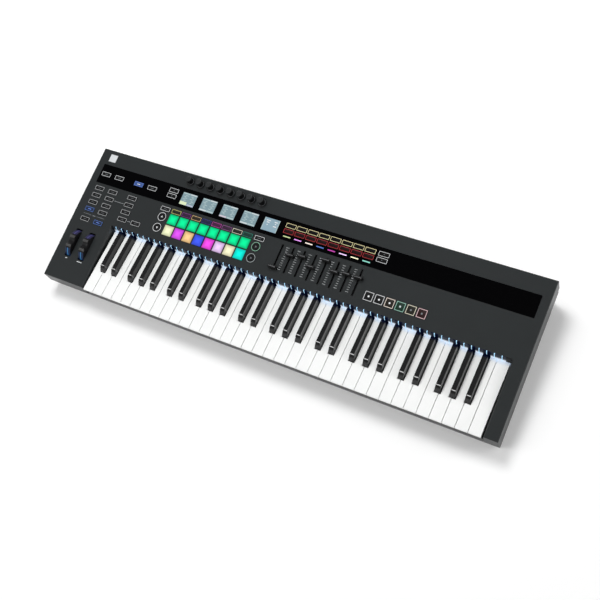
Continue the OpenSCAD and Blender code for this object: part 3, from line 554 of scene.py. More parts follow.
@dataclass(frozen=True)
class Metal:
    """Plated or rolled metal with a drawn grain along one axis."""

    name: str
    tone: Colour
    rough: tuple[float, float] = (0.25, 0.42)
    stretch: Colour = (1, 12, 12)
    grain: float = 3.0
    relief: float = 0.01
    dull: float = 0.82

    def material(self) -> bpy.types.Material:
        """Material with a stretched noise in its gloss and tone.

        Returns:
            The material.
        """
        paint = Paint.material(self.name)
        drawn = paint.noise(self.grain, 3, self.stretch)
        return paint.finish({
            "Base Color": paint.mix(drawn, dimmed(self.tone, self.dull), self.tone),
            "Metallic": 1.0,
            "Roughness": drawn.between(*self.rough),
            "Normal": paint.bump(drawn, self.relief),
        })


@dataclass(frozen=True)
class Lit:
    """Caps and prints whose tint and glow are colours of the mesh, under a fine grain."""

    name: str
    rough: tuple[float, float] = (0.34, 0.48)
    relief: float = 0.02
    specular: float = 0.3
    grain: float = 0.5
    cloud: float = 9.0

    def material(self) -> bpy.types.Material:
        """Material that reads the tint and the glow of the mesh.

        Returns:
            The material.
        """
        paint = Paint.material(self.name)
        fine, cloud = paint.noise(self.grain), paint.noise(self.cloud)
        return paint.finish({
            "Base Color": paint.scaled(paint.attribute(TINT), 0.94 + 0.12 * cloud),
            "Emission Color": paint.attribute(GLOW),
            "Emission Strength": 1.0,
            "Roughness": fine.between(*self.rough),
            "Normal": paint.bump(fine, self.relief),
            "Specular IOR Level": self.specular,
        })


@dataclass(frozen=True)
class Board:
    """Circuit board: solder mask over a fine raster of tracks."""

    name: str = "solder_mask"
    tone: Colour = linear(18, 74, 44)
    track: Colour = linear(34, 104, 62)
    track_size: float = 4.0
    track_edge: tuple[float, float] = (0.52, 0.56)
    relief: float = 0.03

    def material(self) -> bpy.types.Material:
        """Material with tracks where a stretched noise is high.

        Returns:
            The material.
        """
        paint = Paint.material(self.name)
        tracks = paint.noise(self.track_size, 1, (1, 6, 1)).ramp(*self.track_edge)
        return paint.finish({
            "Base Color": paint.mix(tracks, self.tone, self.track),
            "Roughness": 0.3 + 0.2 * paint.noise(6),
            "Normal": paint.bump(tracks, self.relief),
        })


@dataclass(frozen=True)
class Felt:
    """Pressed wool."""

    name: str = "pressed_wool"
    tone: Colour = linear(120, 28, 30)
    shadow: float = 0.6
    fibre: float = 0.8
    relief: float = 0.25

    def material(self) -> bpy.types.Material:
        """Material with short tangled fibres in tone and relief.

        Returns:
            The material.
        """
        paint = Paint.material(self.name)
        fibre = paint.noise(self.fibre, 4, (1, 3, 1))
        return paint.finish({
            "Base Color": paint.mix(fibre, dimmed(self.tone, self.shadow), self.tone),
            "Roughness": 0.9,
            "Sheen Weight": 0.4,
            "Normal": paint.bump(fibre, self.relief),
        })


@dataclass(frozen=True)
class Panel:
    """Sloped top face of the case, which carries every control."""

    left: float
    front: float
    front_height: float = 58.0
    slope: float = 5.9
    keys_depth: float = 139.3

    @classmethod
    def from_frame(cls) -> "Panel":
        """Panel at the left and front limits of the top case."""
        low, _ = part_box("top_case")
        return cls(low.x / MM, low.y / MM)

    @property
    def turn(self) -> np.ndarray:
        """Unit vectors of u, v and w.

        Returns:
            One vector in each row, leaning back by the slope.
        """
        lean = math.radians(self.slope)
        run, rise = math.cos(lean), math.sin(lean)
        return np.array([[1, 0, 0], [0, run, rise], [0, -rise, run]])

    def points(self, local: np.ndarray) -> np.ndarray:
        """Frame points, in millimetres, of points given as u, v and w."""
        corner = np.array([self.left, self.front, self.front_height])
        return corner + (np.asarray(local, float) + [0, self.keys_depth, 0]) @ self.turn

    def spread(self, shell: Shell, spots: Any, tone_count: int = 1,
               sizes: np.ndarray | None = None) -> Shell:
        """Copies of a shell on the panel.

        Args:
            shell: Shell in u, v and w.
            spots: Place of each copy, as (u, v) or (u, v, w).
            tone_count: Number of tones that one copy uses.
            sizes: Factor of each copy along the three axes, or None for copies of the same size.

        Returns:
            The copies as one shell, in the frame.
        """
        places = np.zeros((len(spots), 3))
        places[:, :np.shape(spots)[1]] = spots
        copies = shell.repeated(places, sizes, tone_count)
        return replace(copies, points=self.points(copies.points))


def unlit(tints: Sequence[Colour]) -> np.ndarray:
    """Palette of tints without a glow."""
    return np.array([[tint, BLACK] for tint in tints])


def make_piece(
    name: str,
    shell: Shell,
    material: bpy.types.Material,
    body: str,
    replaces: Sequence[str] = (),
    palette: np.ndarray | None = None,
    crease: float = 38.0,
) -> None:
    """Makes a mesh object of a shell, dresses it and lets it ride on a body.

    Args:
        name: Name of the piece.
        shell: Its surface.
        material: Its material.
        body: Body that it moves with.
        replaces: CAD nodes that it stands for.
        palette: Tint and glow of each tone, as tones by two by three.
        crease: Angle in degrees past which an edge stays sharp.
    """
    mesh = bpy.data.meshes.new(name)
    faces = [face for rows in shell.faces for face in rows.tolist()]
    mesh.from_pydata((shell.points * MM).tolist(), [], faces)
    mesh.polygons.foreach_set("use_smooth", np.ones(len(faces), bool))
    mesh.set_sharp_from_angle(angle=math.radians(crease))
    if palette is not None:
        tone = np.concatenate([np.repeat(t, f.shape[1]) for t, f in zip(shell.tones, shell.faces)])
        shade = shell.shade[np.concatenate([rows.ravel() for rows in shell.faces])]
        for key, colour in ((TINT, palette[tone, 0]), (GLOW, palette[tone, 1] * shade[:, None])):
            cover = np.column_stack([colour, np.ones(len(colour))])
            layer = mesh.attributes.new(key, "FLOAT_COLOR", "CORNER")
            layer.data.foreach_set("color", cover.ravel())
    mesh.materials.append(material)
    piece = bpy.data.objects.new(name, mesh)
    bpy.context.scene.collection.objects.link(piece)
    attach(piece, body)
    if replaces:
        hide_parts(*replaces)
    LOG.info("%s: %d faces on %s", name, len(faces), body)


@dataclass(frozen=True)
class CapLook:
    """Lights of one cap: its lit rim, its plate and the mark on it.

    Attributes:
        rim: Colour of the lit outline.
        plate: Colour that tints the plate inside it.
        fill: Strength of the plate's own light.
        mark: Colour of the mark on the plate.
        rim_light: Strength of the outline's light.
        mark_light: Strength of the mark's light.
    """

    rim: Lamp
    plate: Lamp = Lamp.OFF
    fill: float = 0.0
    mark: Lamp = Lamp.GREY
    rim_light: float = 0.8
    mark_light: float = 0.5

    PRINT_SHARE, PRINT_BASE = 0.25, 0.01
    PLATE_DARK, PLATE_SHARE = 0.6, 0.006

    def printed(self, lamp: Lamp, strength: float) -> list[np.ndarray]:
        """Tint and glow of an outline or a mark in a lamp's colour."""
        return [lamp.light * self.PRINT_SHARE + self.PRINT_BASE, lamp.light * strength]

    def tones(self, body: Colour) -> np.ndarray:
        """Tint and glow of the cap's wall, rim, plate and mark.

        Args:
            body: Tone of the cap's plastic.

        Returns:
            Four tones by two by three, in the order of CapTone.
        """
        wall, plate = np.array(body), self.plate.light
        return np.array([
            [wall, 0 * wall],
            self.printed(self.rim, self.rim_light),
            [wall * self.PLATE_DARK + plate * self.PLATE_SHARE, plate * self.fill],
            self.printed(self.mark, self.mark_light),
        ])


class CapTone(IntEnum):
    """Tone numbers of a cap's faces."""

    WALL = 0
    RIM = 1
    PLATE = 2
    MARK = 3


class Glyph(Enum):
    """Plain marks on the caps; an arrow's value is its corners' angles, in degrees."""

    NONE = "none"
    DASH = "dash"
    DOT = "dot"
    UP = (90, 210, 330)
    DOWN = (270, 30, 150)
    RIGHT = (0, 120, 240)


@dataclass(frozen=True)
class CapForm:
    """Push cap: upright wall, broken edge, lit rim and a plate set a little below it.

    Attributes:
        width, depth, radius: Size of the cap and radius of its corners.
        rise, foot: Height above the panel's face and depth below it.
        edge, soft: Width of the broken edge, and how far in its middle lies.
        rim, bevel, sunk: Width of the lit rim, width and depth of the step down to the plate.
        steps: Points of a corner, less one.
        stem_w, stem_d, stem_foot, stem_edge, lap: Sizes of the stem, and its reach into the cap.
        thin: Half the thickness of a mark.
        dash_share, dash_d, dash_r: Dash's share of the width, its depth and its corner radius.
        dot_share, arrow_size: Dot's radius over the cap's size, arrow's radius over the dot's.
    """

    width: float
    depth: float
    radius: float
    rise: float = 1.0
    foot: float = 4.5
    edge: float = 0.55
    soft: float = 0.12
    rim: float = 0.7
    bevel: float = 0.25
    sunk: float = 0.22
    steps: int = 4
    stem_w: float = 6.0
    stem_d: float = 4.0
    stem_foot: float = 13.9
    stem_edge: float = 0.3
    lap: float = 0.1
    thin: float = 0.1
    dash_share: float = 0.34
    dash_d: float = 1.0
    dash_r: float = 0.4
    dot_share: float = 0.1
    arrow_size: float = 1.4

    def stem(self) -> Shell:
        """Stem under the cap, which reaches a little into it."""
        half_w, half_d, top = self.stem_w / 2, self.stem_d / 2, self.lap - self.foot
        return block(-half_w, half_w, -half_d, half_d, -self.stem_foot, top, self.stem_edge)

    def shell(self, glyph: Glyph) -> Shell:
        """Cap with its stem and mark, standing on the panel's face at the origin.

        Args:
            glyph: Mark on the plate.

        Returns:
            A loft of rounded rectangles from the foot up and in over the rim, a stem and the mark.
        """
        top, inner = self.rise, self.edge + self.rim
        profile = [(0, -self.foot), (0, top - self.edge), (self.soft, top - self.soft),
                   (self.edge, top), (inner, top), (inner + self.bevel, top - self.sunk)]
        rings = rounded_rings(self.width, self.depth, self.radius, profile, self.steps)
        bands = column([CapTone.WALL] * 3 + [CapTone.RIM, CapTone.WALL])
        cap = loft(rings, bands, (CapTone.WALL, CapTone.PLATE))
        return Shell.joined([cap, self.stem(), *self.marks(glyph)])

    def marks(self, glyph: Glyph) -> list[Shell]:
        """Raised mark of a glyph on the plate.

        Args:
            glyph: Kind of mark.

        Returns:
            A thin closed shell in the mark's tone, or none.
        """
        if glyph is Glyph.NONE:
            return []
        floor, size = self.rise - self.sunk, self.dot_share * min(self.width, self.depth)
        levels = [(0, floor - self.thin), (0, floor + self.thin)]
        if glyph is Glyph.DASH:
            rings = rounded_rings(self.width * self.dash_share, self.dash_d, self.dash_r, levels, 2)
        elif glyph is Glyph.DOT:
            rings = turned_rings([(size, height) for _, height in levels], 20)
        else:
            turn = np.radians(glyph.value)
            corners = np.column_stack([np.cos(turn), np.sin(turn)])
            rings = stacked(self.arrow_size * size * corners, levels)
        return [loft(rings).toned(CapTone.MARK)]


@dataclass(frozen=True)
class Layout:
    """Places of the controls on the panel, in u and v."""

    columns: tuple[float, ...] = (33.4, 67.4, 117.6, 151.5)
    row_first: float = 19.805
    row_pitch: float = 16.193
    row_count: int = 4
    button_w: float = 22.4
    strip_u: float = 229.0
    strip_pitch: float = 24.0
    strips: int = 8
    left_side_u: float = 202.0
    right_side_u: float = 423.4
    fader_u: float = 474.8
    fader_v: float = 45.2
    fader_travel: float = 45.0
    fader_rests: tuple[float, ...] = (0, 31, 36, 22, 43, 27, 30, 30)
    page_right_u: float = 670.2
    window_mid: float = 101.18
    soft_vs: tuple[float, float] = (98.18, 110.08)
    pad_vs: tuple[float, float] = (26.98, 50.98)
    knob_v: float = 138.417
    transport_u: float = 673.4
    transport_pitch: float = 20.8
    octave_v: float = -3.0
    wheel_us: tuple[float, float] = (33.4, 67.6)
    wheel_v: float = -57.7

    @property
    def rows(self) -> np.ndarray:
        """The rows of function buttons, from the front."""
        return self.row_first + self.row_pitch * np.arange(self.row_count)

    @property
    def strip_us(self) -> np.ndarray:
        """Middles of the eight pad strips."""
        return self.strip_u + self.strip_pitch * np.arange(self.strips)

    @property
    def fader_us(self) -> np.ndarray:
        """Middles of the eight fader strips."""
        return self.fader_u + self.strip_pitch * np.arange(self.strips)


@dataclass
class Buttons:
    """All push buttons and pads of the panel."""

    panel: Panel
    layout: Layout
    caps: bpy.types.Material
    rubber: bpy.types.Material
    button_d: float = 10.0
    corner: float = 1.4
    wide_rim: float = 1.0
    scene_dia: float = 19.6
    transport_size: float = 18.2
    pad_size: float = 21.8
    pad_rise: float = 1.6
    pad_share: float = 0.06
    pad_base: float = 0.002
    body_tone: Colour = linear(30, 31, 32)
    window_tone: Colour = linear(12, 12, 13)
    white_rim: CapLook = CapLook(Lamp.WHITE, rim_light=0.62)

    def group(self, node: str, form: CapForm, spots: Any, looks: Sequence[CapLook],
              glyphs: Sequence[Glyph], body: Colour) -> None:
        """One group of caps as one piece, on its own body.

        Args:
            node: CAD node that the group stands for.
            form: Shape of its caps.
            spots: Place of each cap.
            looks: Lights of each cap.
            glyphs: Mark of each cap.
            body: Tone of the caps' plastic.
        """
        spots, tone_count = np.asarray(spots, float), len(CapTone)
        kinds = [glyph for glyph in Glyph if glyph in glyphs]
        picks = [np.flatnonzero([glyph is kind for glyph in glyphs]) for kind in kinds]
        starts = tone_count * np.cumsum([0] + [len(pick) for pick in picks[:-1]])
        shells = [
            self.panel.spread(form.shell(kind), spots[pick], tone_count).tones_from(start)
            for kind, pick, start in zip(kinds, picks, starts)]
        palette = np.concatenate([looks[i].tones(body) for pick in picks for i in pick])
        make_piece(node + "_caps", Shell.joined(shells), self.caps, node,
                   [node], palette)

    def build(self) -> None:
        """Builds every group of caps, then the pads."""
        self.function_group()
        self.window_group()
        self.track_group()
        self.scene_group()
        self.soft_group()
        self.transport_group()
        self.pad_group()

    @property
    def small(self) -> CapForm:
        """Form of the small oblong buttons."""
        return CapForm(self.layout.button_w, self.button_d, self.corner)

    def function_group(self) -> None:
        """Three columns of four, one more beside them and the two octave buttons; two are lit."""
        plan = self.layout
        spots = [(u, v) for u in plan.columns[:3] for v in plan.rows]
        spots += [(plan.columns[3], plan.rows[0])] + [(u, plan.octave_v) for u in plan.columns[:2]]
        looks = [CapLook(Lamp.WHITE, rim_light=0.3, mark_light=0.25)] * len(spots)
        looks[0] = looks[-1] = CapLook(Lamp.BLUE, Lamp.BLUE, 0.1, Lamp.SKY, 0.9, 1.0)
        glyphs = [Glyph.DASH] * len(spots)
        self.group("function_buttons", self.small, spots, looks, glyphs, self.body_tone)

    def window_group(self) -> None:
        """Four mode buttons, the third lit, and two pairs of page buttons in the window."""
        plan = self.layout
        spots = [(u, plan.window_mid) for u in plan.columns]
        spots += [(u, v) for u in (plan.left_side_u, plan.page_right_u) for v in plan.soft_vs]
        looks = [self.white_rim] * len(spots)
        looks[2] = CapLook(Lamp.SKY, Lamp.BLUE, 0.6, Lamp.WHITE, 0.8, 1.0)
        glyphs = [Glyph.DASH] * len(plan.columns) + [Glyph.DOWN, Glyph.UP] * 2
        self.group("window_buttons", self.small, spots, looks, glyphs, self.window_tone)

    def track_group(self) -> None:
        """Row over the pads: a white button at each end, eight coloured outlines between them."""
        plan, row = self.layout, self.layout.rows[-1]
        fills = {
            Lamp.OLIVE: 0.008, Lamp.PURPLE: 0.14, Lamp.AMBER: 0.02, Lamp.INDIGO: 0.2,
            Lamp.MAGENTA: 0.1, Lamp.MAUVE: 0.1, Lamp.PEARL: 0.008, Lamp.TEAL: 0.16}
        spots = [(u, row) for u in (plan.left_side_u, plan.right_side_u, *plan.strip_us)]
        looks = [self.white_rim] * 2
        looks += [CapLook(lamp, lamp, fill, lamp, 0.9) for lamp, fill in fills.items()]
        glyphs = [Glyph.DASH] * 2 + [Glyph.NONE] * len(fills)
        self.group("track_buttons", self.small, spots, looks, glyphs, self.body_tone)

    def scene_group(self) -> None:
        """Round buttons beside the pads: a bright pair on the left, a dim pair on the right."""
        plan, size = self.layout, self.scene_dia
        form = CapForm(size, size, size / 2, rim=self.wide_rim, steps=9)
        spots = [(u, v) for u in (plan.left_side_u, plan.right_side_u) for v in plan.pad_vs]
        looks = [CapLook(Lamp.WHITE, mark=Lamp.WHITE, rim_light=0.55)] * 2
        looks += [CapLook(Lamp.FROST, rim_light=0.3), CapLook(Lamp.MINT, rim_light=0.5)]
        glyphs = [Glyph.DOWN, Glyph.UP, Glyph.RIGHT, Glyph.RIGHT]
        self.group("scene_buttons", form, spots, looks, glyphs, self.body_tone)

    def soft_group(self) -> None:
        """Two rows in the window over the faders: pale yellow outlines behind red ones."""
        plan = self.layout
        spots = [(u, v) for u in plan.fader_us for v in plan.soft_vs]
        pair = [CapLook(Lamp.RED, Lamp.RED, 0.02, rim_light=1.0), CapLook(Lamp.GOLD, rim_light=0.9)]
        looks, glyphs = pair * plan.strips, [Glyph.NONE] * len(spots)
        self.group("soft_buttons", self.small, spots, looks, glyphs, self.window_tone)

    def transport_group(self) -> None:
        """Six square buttons with outlines and a faint tint of their own colour."""
        plan, size = self.layout, self.transport_size
        form = CapForm(size, size, self.corner, rim=self.wide_rim)
        plain = CapLook(Lamp.WHITE, mark=Lamp.WHITE, rim_light=0.55, mark_light=0.7)
        looks = [
            plain,
            plain,
            CapLook(Lamp.SAND, Lamp.AMBER, 0.008, Lamp.WHITE, 0.7, 0.7),
            CapLook(Lamp.SAGE, Lamp.LEAF, 0.07, Lamp.FROST, 0.75, 0.7),
            CapLook(Lamp.PEARL, Lamp.GOLD, 0.006, Lamp.GREY, 0.75, 0.7),
            CapLook(Lamp.ROSE, Lamp.RED, 0.035, Lamp.GREY, 0.75, 0.7),
        ]
        spots = [(plan.transport_u + i * plan.transport_pitch, plan.pad_vs[0])
                 for i in range(len(looks))]
        glyphs = [Glyph.DOT] * len(looks)
        self.group("transport_buttons", form, spots, looks, glyphs, self.body_tone)

    def pad_group(self) -> None:
        """Sixteen rubber pads that glow from below, brightest in the middle.

        A pad is a loft of rounded squares that draw in to its crown, each with a glow of its own.
        The rear row fades further towards its edges than the front one.
        """
        plan, top = self.layout, self.pad_rise
        lamps = [Lamp.STRAW, Lamp.VIOLET, Lamp.PEACH, Lamp.ROYAL, Lamp.PINK, Lamp.LILAC,
                 Lamp.CREAM, Lamp.CYAN] + [Lamp.GREEN] * plan.strips
        glows = (0.4, 0.55, 0.68, 0.82, 0.97, 1.08), (0.3, 0.42, 0.58, 0.8, 0.95, 1.0)
        form = CapForm(self.pad_size, self.pad_size, self.corner, top)
        profile = [(0, -form.foot), (0, top - 0.8), (0.25, top - 0.3), (0.9, top - 0.08)]
        profile += [(inset, top) for inset in (2.2, 4.5, 7.0, 9.4)]
        rings = rounded_rings(form.width, form.depth, form.radius, profile)
        shells = []
        for row, (v, glow) in enumerate(zip(plan.pad_vs, glows)):
            pad = Shell.joined([loft(rings, shade=np.array([0, 0, *glow])), form.stem()])
            spots = [(u, v) for u in plan.strip_us]
            shells.append(self.panel.spread(pad, spots).tones_from(row * plan.strips))
        palette = np.array([[lamp.light * self.pad_share + self.pad_base, lamp.light]
                            for lamp in lamps])
        make_piece("pad_cushions", Shell.joined(shells), self.rubber, "pads",
                   ["pads"], palette)


@dataclass
class Keyboard:
    """Five octaves of white and black keys and the lit wall behind them.

    Attributes:
        proud: How far the white keys stand out before the case.
        white_past_wall, black_short_of_wall: How far white keys end behind the lit wall's face, and
            black keys before it.
        brow_reach, brow_share, brow_power: Run of a black key's brow, the share of a quarter turn
            that it sweeps, and the power of its sine.
        facet_start, facet_run, facet_slope: Short facet between the brow and the level top.
        shine_start, shine_w: Polished band at the end of the brow.
        hub_front, hub_rear, hub_drop: Reach of a key's hub from the rod, and below the key.
        painted_glow_reach, painted_cool_reach, painted_shade_reach: Distances from the lit wall
        between which the white keys get a painted glow and a painted cooler tint for its light, and
        the black keys fall into painted shade.
        painted_fade_rise: Heights over the white keys between which the wall's painted pale glow
            fades
        into painted shade under the panel's lip.
    """

    panel: Panel
    left_block: float = 100.7
    side_gap: float = 3.0
    pitch: float = 23.5
    gap: float = 1.0
    notes: int = 61
    proud: float = 1.5
    top: float = 57.0
    body_h: float = 14.0
    lip_h: float = 5.0
    overhang: float = 14.0
    head: float = 47.0
    top_round: float = 0.7
    white_past_wall: float = 4.6
    black_w: float = 11.0
    black_top_w: float = 9.5
    black_rise: float = 12.0
    black_shift: float = 1.8
    black_short_of_wall: float = 3.9
    brow_reach: float = 12.4
    brow_share: float = 0.726
    brow_power: float = 0.82
    facet_start: float = 9.0
    facet_run: float = 2.2
    facet_slope: float = 0.398
    front_drops: tuple[float, float] = (4.0, 1.0)
    rear_edge: float = 0.6
    edge_least: float = 0.2
    edge_growth: float = 0.55
    shine_start: float = 8.8
    shine_w: float = 2.6
    pivot_reach: float = 195.0
    hub_front: float = 19.0
    hub_rear: float = 21.0
    hub_drop: float = 8.0
    tail_w: float = 10.5
    arm_drop: float = 7.0
    white_arm_w: float = 9.0
    black_arm_w: float = 10.6
    arm_lap: float = 1.0
    wall_y: float = -8.157
    painted_key_glow: float = 0.4
    painted_glow_reach: tuple[float, float] = (9.0, 0.0)
    painted_cool_reach: tuple[float, float] = (12.0, 1.0)
    painted_shade_reach: tuple[float, float] = (13.0, 6.0)
    painted_fade_rise: tuple[float, float] = (2.0, 9.0)
    rib_half: float = 0.75
    crease: float = 30.0

    NAMES = ("c", "c_sharp", "d", "d_sharp", "e", "f", "f_sharp", "g", "g_sharp", "a", "a_sharp",
             "b")
    WHITE_STEPS = (0, 2, 4, 5, 7, 9, 11)

    @property
    def first_x(self) -> float:
        """Left limit of the key row."""
        return self.panel.left + self.left_block + self.side_gap

    @property
    def front(self) -> float:
        """Front of the white keys."""
        return self.panel.front - self.proud

    @property
    def slot_pitch(self) -> float:
        """Pitch of the even spread of key tails."""
        return len(self.WHITE_STEPS) * self.pitch / OCTAVE

    def slot(self, note: float) -> float:
        """Middle of a key's tail."""
        return self.first_x + (note + 0.5) * self.slot_pitch + self.black_shift

    def is_black(self, note: int) -> bool:
        """Whether a note within the row is a black key."""
        return 0 <= note < self.notes and note % OCTAVE not in self.WHITE_STEPS

    def tail(self, note: int, width: float, start: float) -> Shell:
        """Tail of a key: an arm under the panel and the hub that turns on the rod.

        Args:
            note: Number of the key.
            width: Width of the arm.
            start: Where the arm begins.

        Returns:
            Two closed blocks that meet.
        """
        x, half, hub_half = self.slot(note), width / 2, self.tail_w / 2
        low, high = self.top - self.body_h, self.top - self.arm_drop
        pivot = self.front + self.pivot_reach
        end, rear = pivot - self.hub_front, pivot + self.hub_rear
        arm = block(x - half, x + half, start, end, low, high)
        hub = block(x - hub_half, x + hub_half, end, rear, low - self.hub_drop, high)
        return Shell.joined([arm, hub])

    def white_key(self, note: int) -> Shell:
        """White key: its plan outline stacked from the body's foot over the lip to the rounded top.

        Args:
            note: Number of the key.

        Returns:
            Rings of the plan outline; the body's rings stand back under the lip, and the upper
            rings draw in along a quarter circle.
        """
        octave, step = divmod(note, OCTAVE)
        index = len(self.WHITE_STEPS) * octave + self.WHITE_STEPS.index(step)
        x0 = self.first_x + index * self.pitch + self.gap / 2
        x1 = x0 + self.pitch - self.gap
        neck, rear = self.front + self.head - self.gap, self.wall_y + self.white_past_wall
        clear = self.black_w / 2 + self.gap
        outline = [(x0, self.front), (x1, self.front)]
        if self.is_black(note + 1):
            right = self.slot(note + 1) - clear
            outline += [(x1, neck), (right, neck), (right, rear)]
        else:
            outline += [(x1, rear)]
        if self.is_black(note - 1):
            left = self.slot(note - 1) + clear
            outline += [(left, rear), (left, neck), (x0, neck)]
        else:
            outline += [(x0, rear)]
        upper = np.array(outline)
        lower = upper.copy()
        lower[:2, 1] += self.overhang
        foot, lip = self.top - self.body_h, self.top - self.lip_h
        body = stacked(lower, [(0.7, foot), (0.45, lip - 0.5), (0.3, lip - 0.3)])
        turn = np.radians(np.linspace(0, 90, 5))
        insets = self.top_round * (1 - np.cos(turn))
        heights = self.top - self.top_round * (1 - np.sin(turn))
        cap = stacked(upper, [(0.25, lip - 0.25), (0, lip), *zip(insets, heights)])
        key = loft(np.concatenate([body, cap]))
        return Shell.joined([key, self.tail(note, self.white_arm_w, rear - self.arm_lap)])

    def black_key(self, note: int) -> Shell:
        """Black key: upright sections carried along the brow of its front and its level top.

        Args:
            note: Number of the key.

        Returns:
            A loft whose section at each station has leaning sides and broken upper edges; the brow
            rises along a power of a sine and ends in a short facet below the level top.
        """
        start, end = self.front + self.head, self.wall_y - self.black_short_of_wall
        length, crest = end - start, self.black_rise
        sweep = np.linspace(0, self.brow_share, 7)
        facet = np.linspace(0, self.facet_run, 4)[1:]
        brow = crest * np.sin(sweep * np.pi / 2) ** self.brow_power
        along = np.concatenate([[0.0], self.brow_reach * sweep, self.facet_start + facet,
                                [self.brow_reach, length - self.rear_edge, length]])
        rise = np.concatenate([[0.0], brow, brow[-1] + self.facet_slope * facet,
                               [crest, crest, crest - self.rear_edge]])
        rise[:2] = -np.array(self.front_drops)
        level = np.maximum(rise, 0) / crest
        half = self.black_w / 2 - level * (self.black_w - self.black_top_w) / 2
        edge = (self.edge_least + self.edge_growth * level)[:, None]
        right_x = half[:, None] - edge * np.array([0, 1])
        right_z = self.top + rise[:, None] - edge * np.array([1, 0])
        base = np.full((len(along), 1), self.black_w / 2)
        low = np.full((len(along), 1), self.top - self.body_h)
        shoulder = np.minimum(self.top, right_z[:, :1] - self.edge_least)
        x = np.concatenate([-base, base, base, right_x, -right_x[:, ::-1], -base], 1)
        z = np.concatenate([low, low, shoulder, right_z, right_z[:, ::-1], shoulder], 1)
        y = np.broadcast_to((start + along)[:, None], x.shape)
        rings = np.stack([x + self.slot(note), y, z], -1)[::-1]
        tail = self.tail(note, self.black_arm_w, end - self.arm_lap / 2)
        return Shell.joined([loft(rings), tail])

    def build(self, ivory: bpy.types.Material, ebony: bpy.types.Material) -> None:
        """Builds the keys of each pitch class as one piece on its body.

        Args:
            ivory: Material of the white keys.
            ebony: Material of the black keys.
        """
        for step, name in enumerate(self.NAMES):
            shape, finish, slot = (
                (self.black_key, ebony, "black_key") if self.is_black(step)
                else (self.white_key, ivory, "white_key"))
            shell = Shell.joined([shape(note) for note in range(step, self.notes, OCTAVE)])
            node = name + "_keys"
            make_piece(node + "_tops", shell, finish, node, [node], crease=self.crease)

    def near_wall(self, y: Signal, reach: tuple[float, float]) -> Signal:
        """Rises from 0 to 1 between two distances in front of the lit wall."""
        far, close = reach
        return y.ramp(self.wall_y - far, self.wall_y - close)

    def ivory(self) -> bpy.types.Material:
        """White key plastic: faint moulding streaks, satin gloss, and a painted cool tint and glow
        near the lit wall, for its light.

        Returns:
            The material.
        """
        paint = Paint.material("white_key_plastic")
        _, y, _ = paint.axes()
        cloud, streak = paint.noise(30), paint.noise(2, stretch=(6, 0.3, 1))
        plain = paint.mix(cloud, linear(240, 241, 240), linear(246, 247, 246))
        # painted light: a glow and a cooler base tint on the white keys near the lit wall, standing
        # in for its light falling on them
        light = self.painted_key_glow * self.near_wall(y, self.painted_glow_reach)
        cool = self.near_wall(y, self.painted_cool_reach)
        return paint.finish({
            "Base Color": paint.mix(cool, plain, linear(226, 238, 250)),
            "Emission Color": paint.scaled(Vector(linear(206, 226, 255)), light),
            "Emission Strength": 1.0,
            "Roughness": 0.26 + 0.1 * streak,
            "Normal": paint.bump(streak, 0.004),
            "Coat Weight": 0.15,
            "Coat Roughness": 0.1,
        })

    def ebony(self) -> bpy.types.Material:
        """Black key plastic: fine satin grain, polished at the brow, with painted navy shade by the
        lit wall.

        Returns:
            The material.
        """
        paint = Paint.material("black_key_plastic")
        _, y, _ = paint.axes()
        fine, cloud = paint.noise(0.4), paint.noise(20)
        shine = self.front + self.head + self.shine_start
        return paint.finish({
            "Base Color": paint.mix(cloud, linear(12, 12, 13), linear(17, 17, 18)),
            "Roughness": 0.1 + 0.05 * fine,
            "Normal": paint.bump(fine, 0.003),
            "Specular IOR Level": 0.5,
            "Coat Weight": (y > shine) * (y < shine + self.shine_w),
            "Coat Roughness": 0.08,
        # painted shade: a navy matte mixed in near the lit wall, where the keys lie in its shade
        }, self.near_wall(y, self.painted_shade_reach), linear(5, 10, 32))

    def lit_wall(self) -> bpy.types.Material:
        """Light guide: a bright rib at each key; between the ribs a painted pale glow by a white
        key and painted navy shade by a black one, fading to painted shade under the panel's lip.

        Returns:
            The material.
        """
        paint = Paint.material("light_guide_ribs")
        x, _, z = paint.axes()
        phase = (x - self.slot(0)) / self.slot_pitch
        note = phase.rounded()
        within = (phase > -0.5) * (phase < self.notes - 0.5)
        rib = (abs(phase - note) * self.slot_pitch < self.rib_half) * within
        step = note.math("FLOORED_MODULO", note, OCTAVE)
        blacks = [number for number in range(OCTAVE) if self.is_black(number)]
        dark = sum(step.math("COMPARE", step, number, 0.5) for number in blacks)
        # painted shade: the wall is navy behind the black keys
        body = paint.mix(dark, linear(34, 38, 46), linear(4, 8, 30))
        # painted light: a pale glow by the white keys that fades upwards into painted shade under
        # the panel's lip
        over = z.ramp(*(self.top + rise for rise in self.painted_fade_rise))
        pale = paint.mix(over, linear(222, 232, 246), linear(24, 28, 36))
        painted_halo = paint.mix(within, BLACK, paint.mix(dark, pale, linear(2, 5, 20)))
        wall = paint.mix(within, linear(30, 31, 32), body)
        return paint.finish({
            "Base Color": paint.mix(rib, wall, linear(120, 170, 200)),
            "Emission Color": paint.mix(rib, painted_halo, linear(168, 206, 232)),
            "Emission Strength": 1.0,
            "Roughness": 0.3 + 0.15 * paint.noise(3),
            "Specular IOR Level": 0.1,
        })


class KnobTone(IntEnum):
    """Tone numbers of a knob's faces."""

    GRIP = 0
    SKIRT = 1
    RING = 2
    CROWN = 3


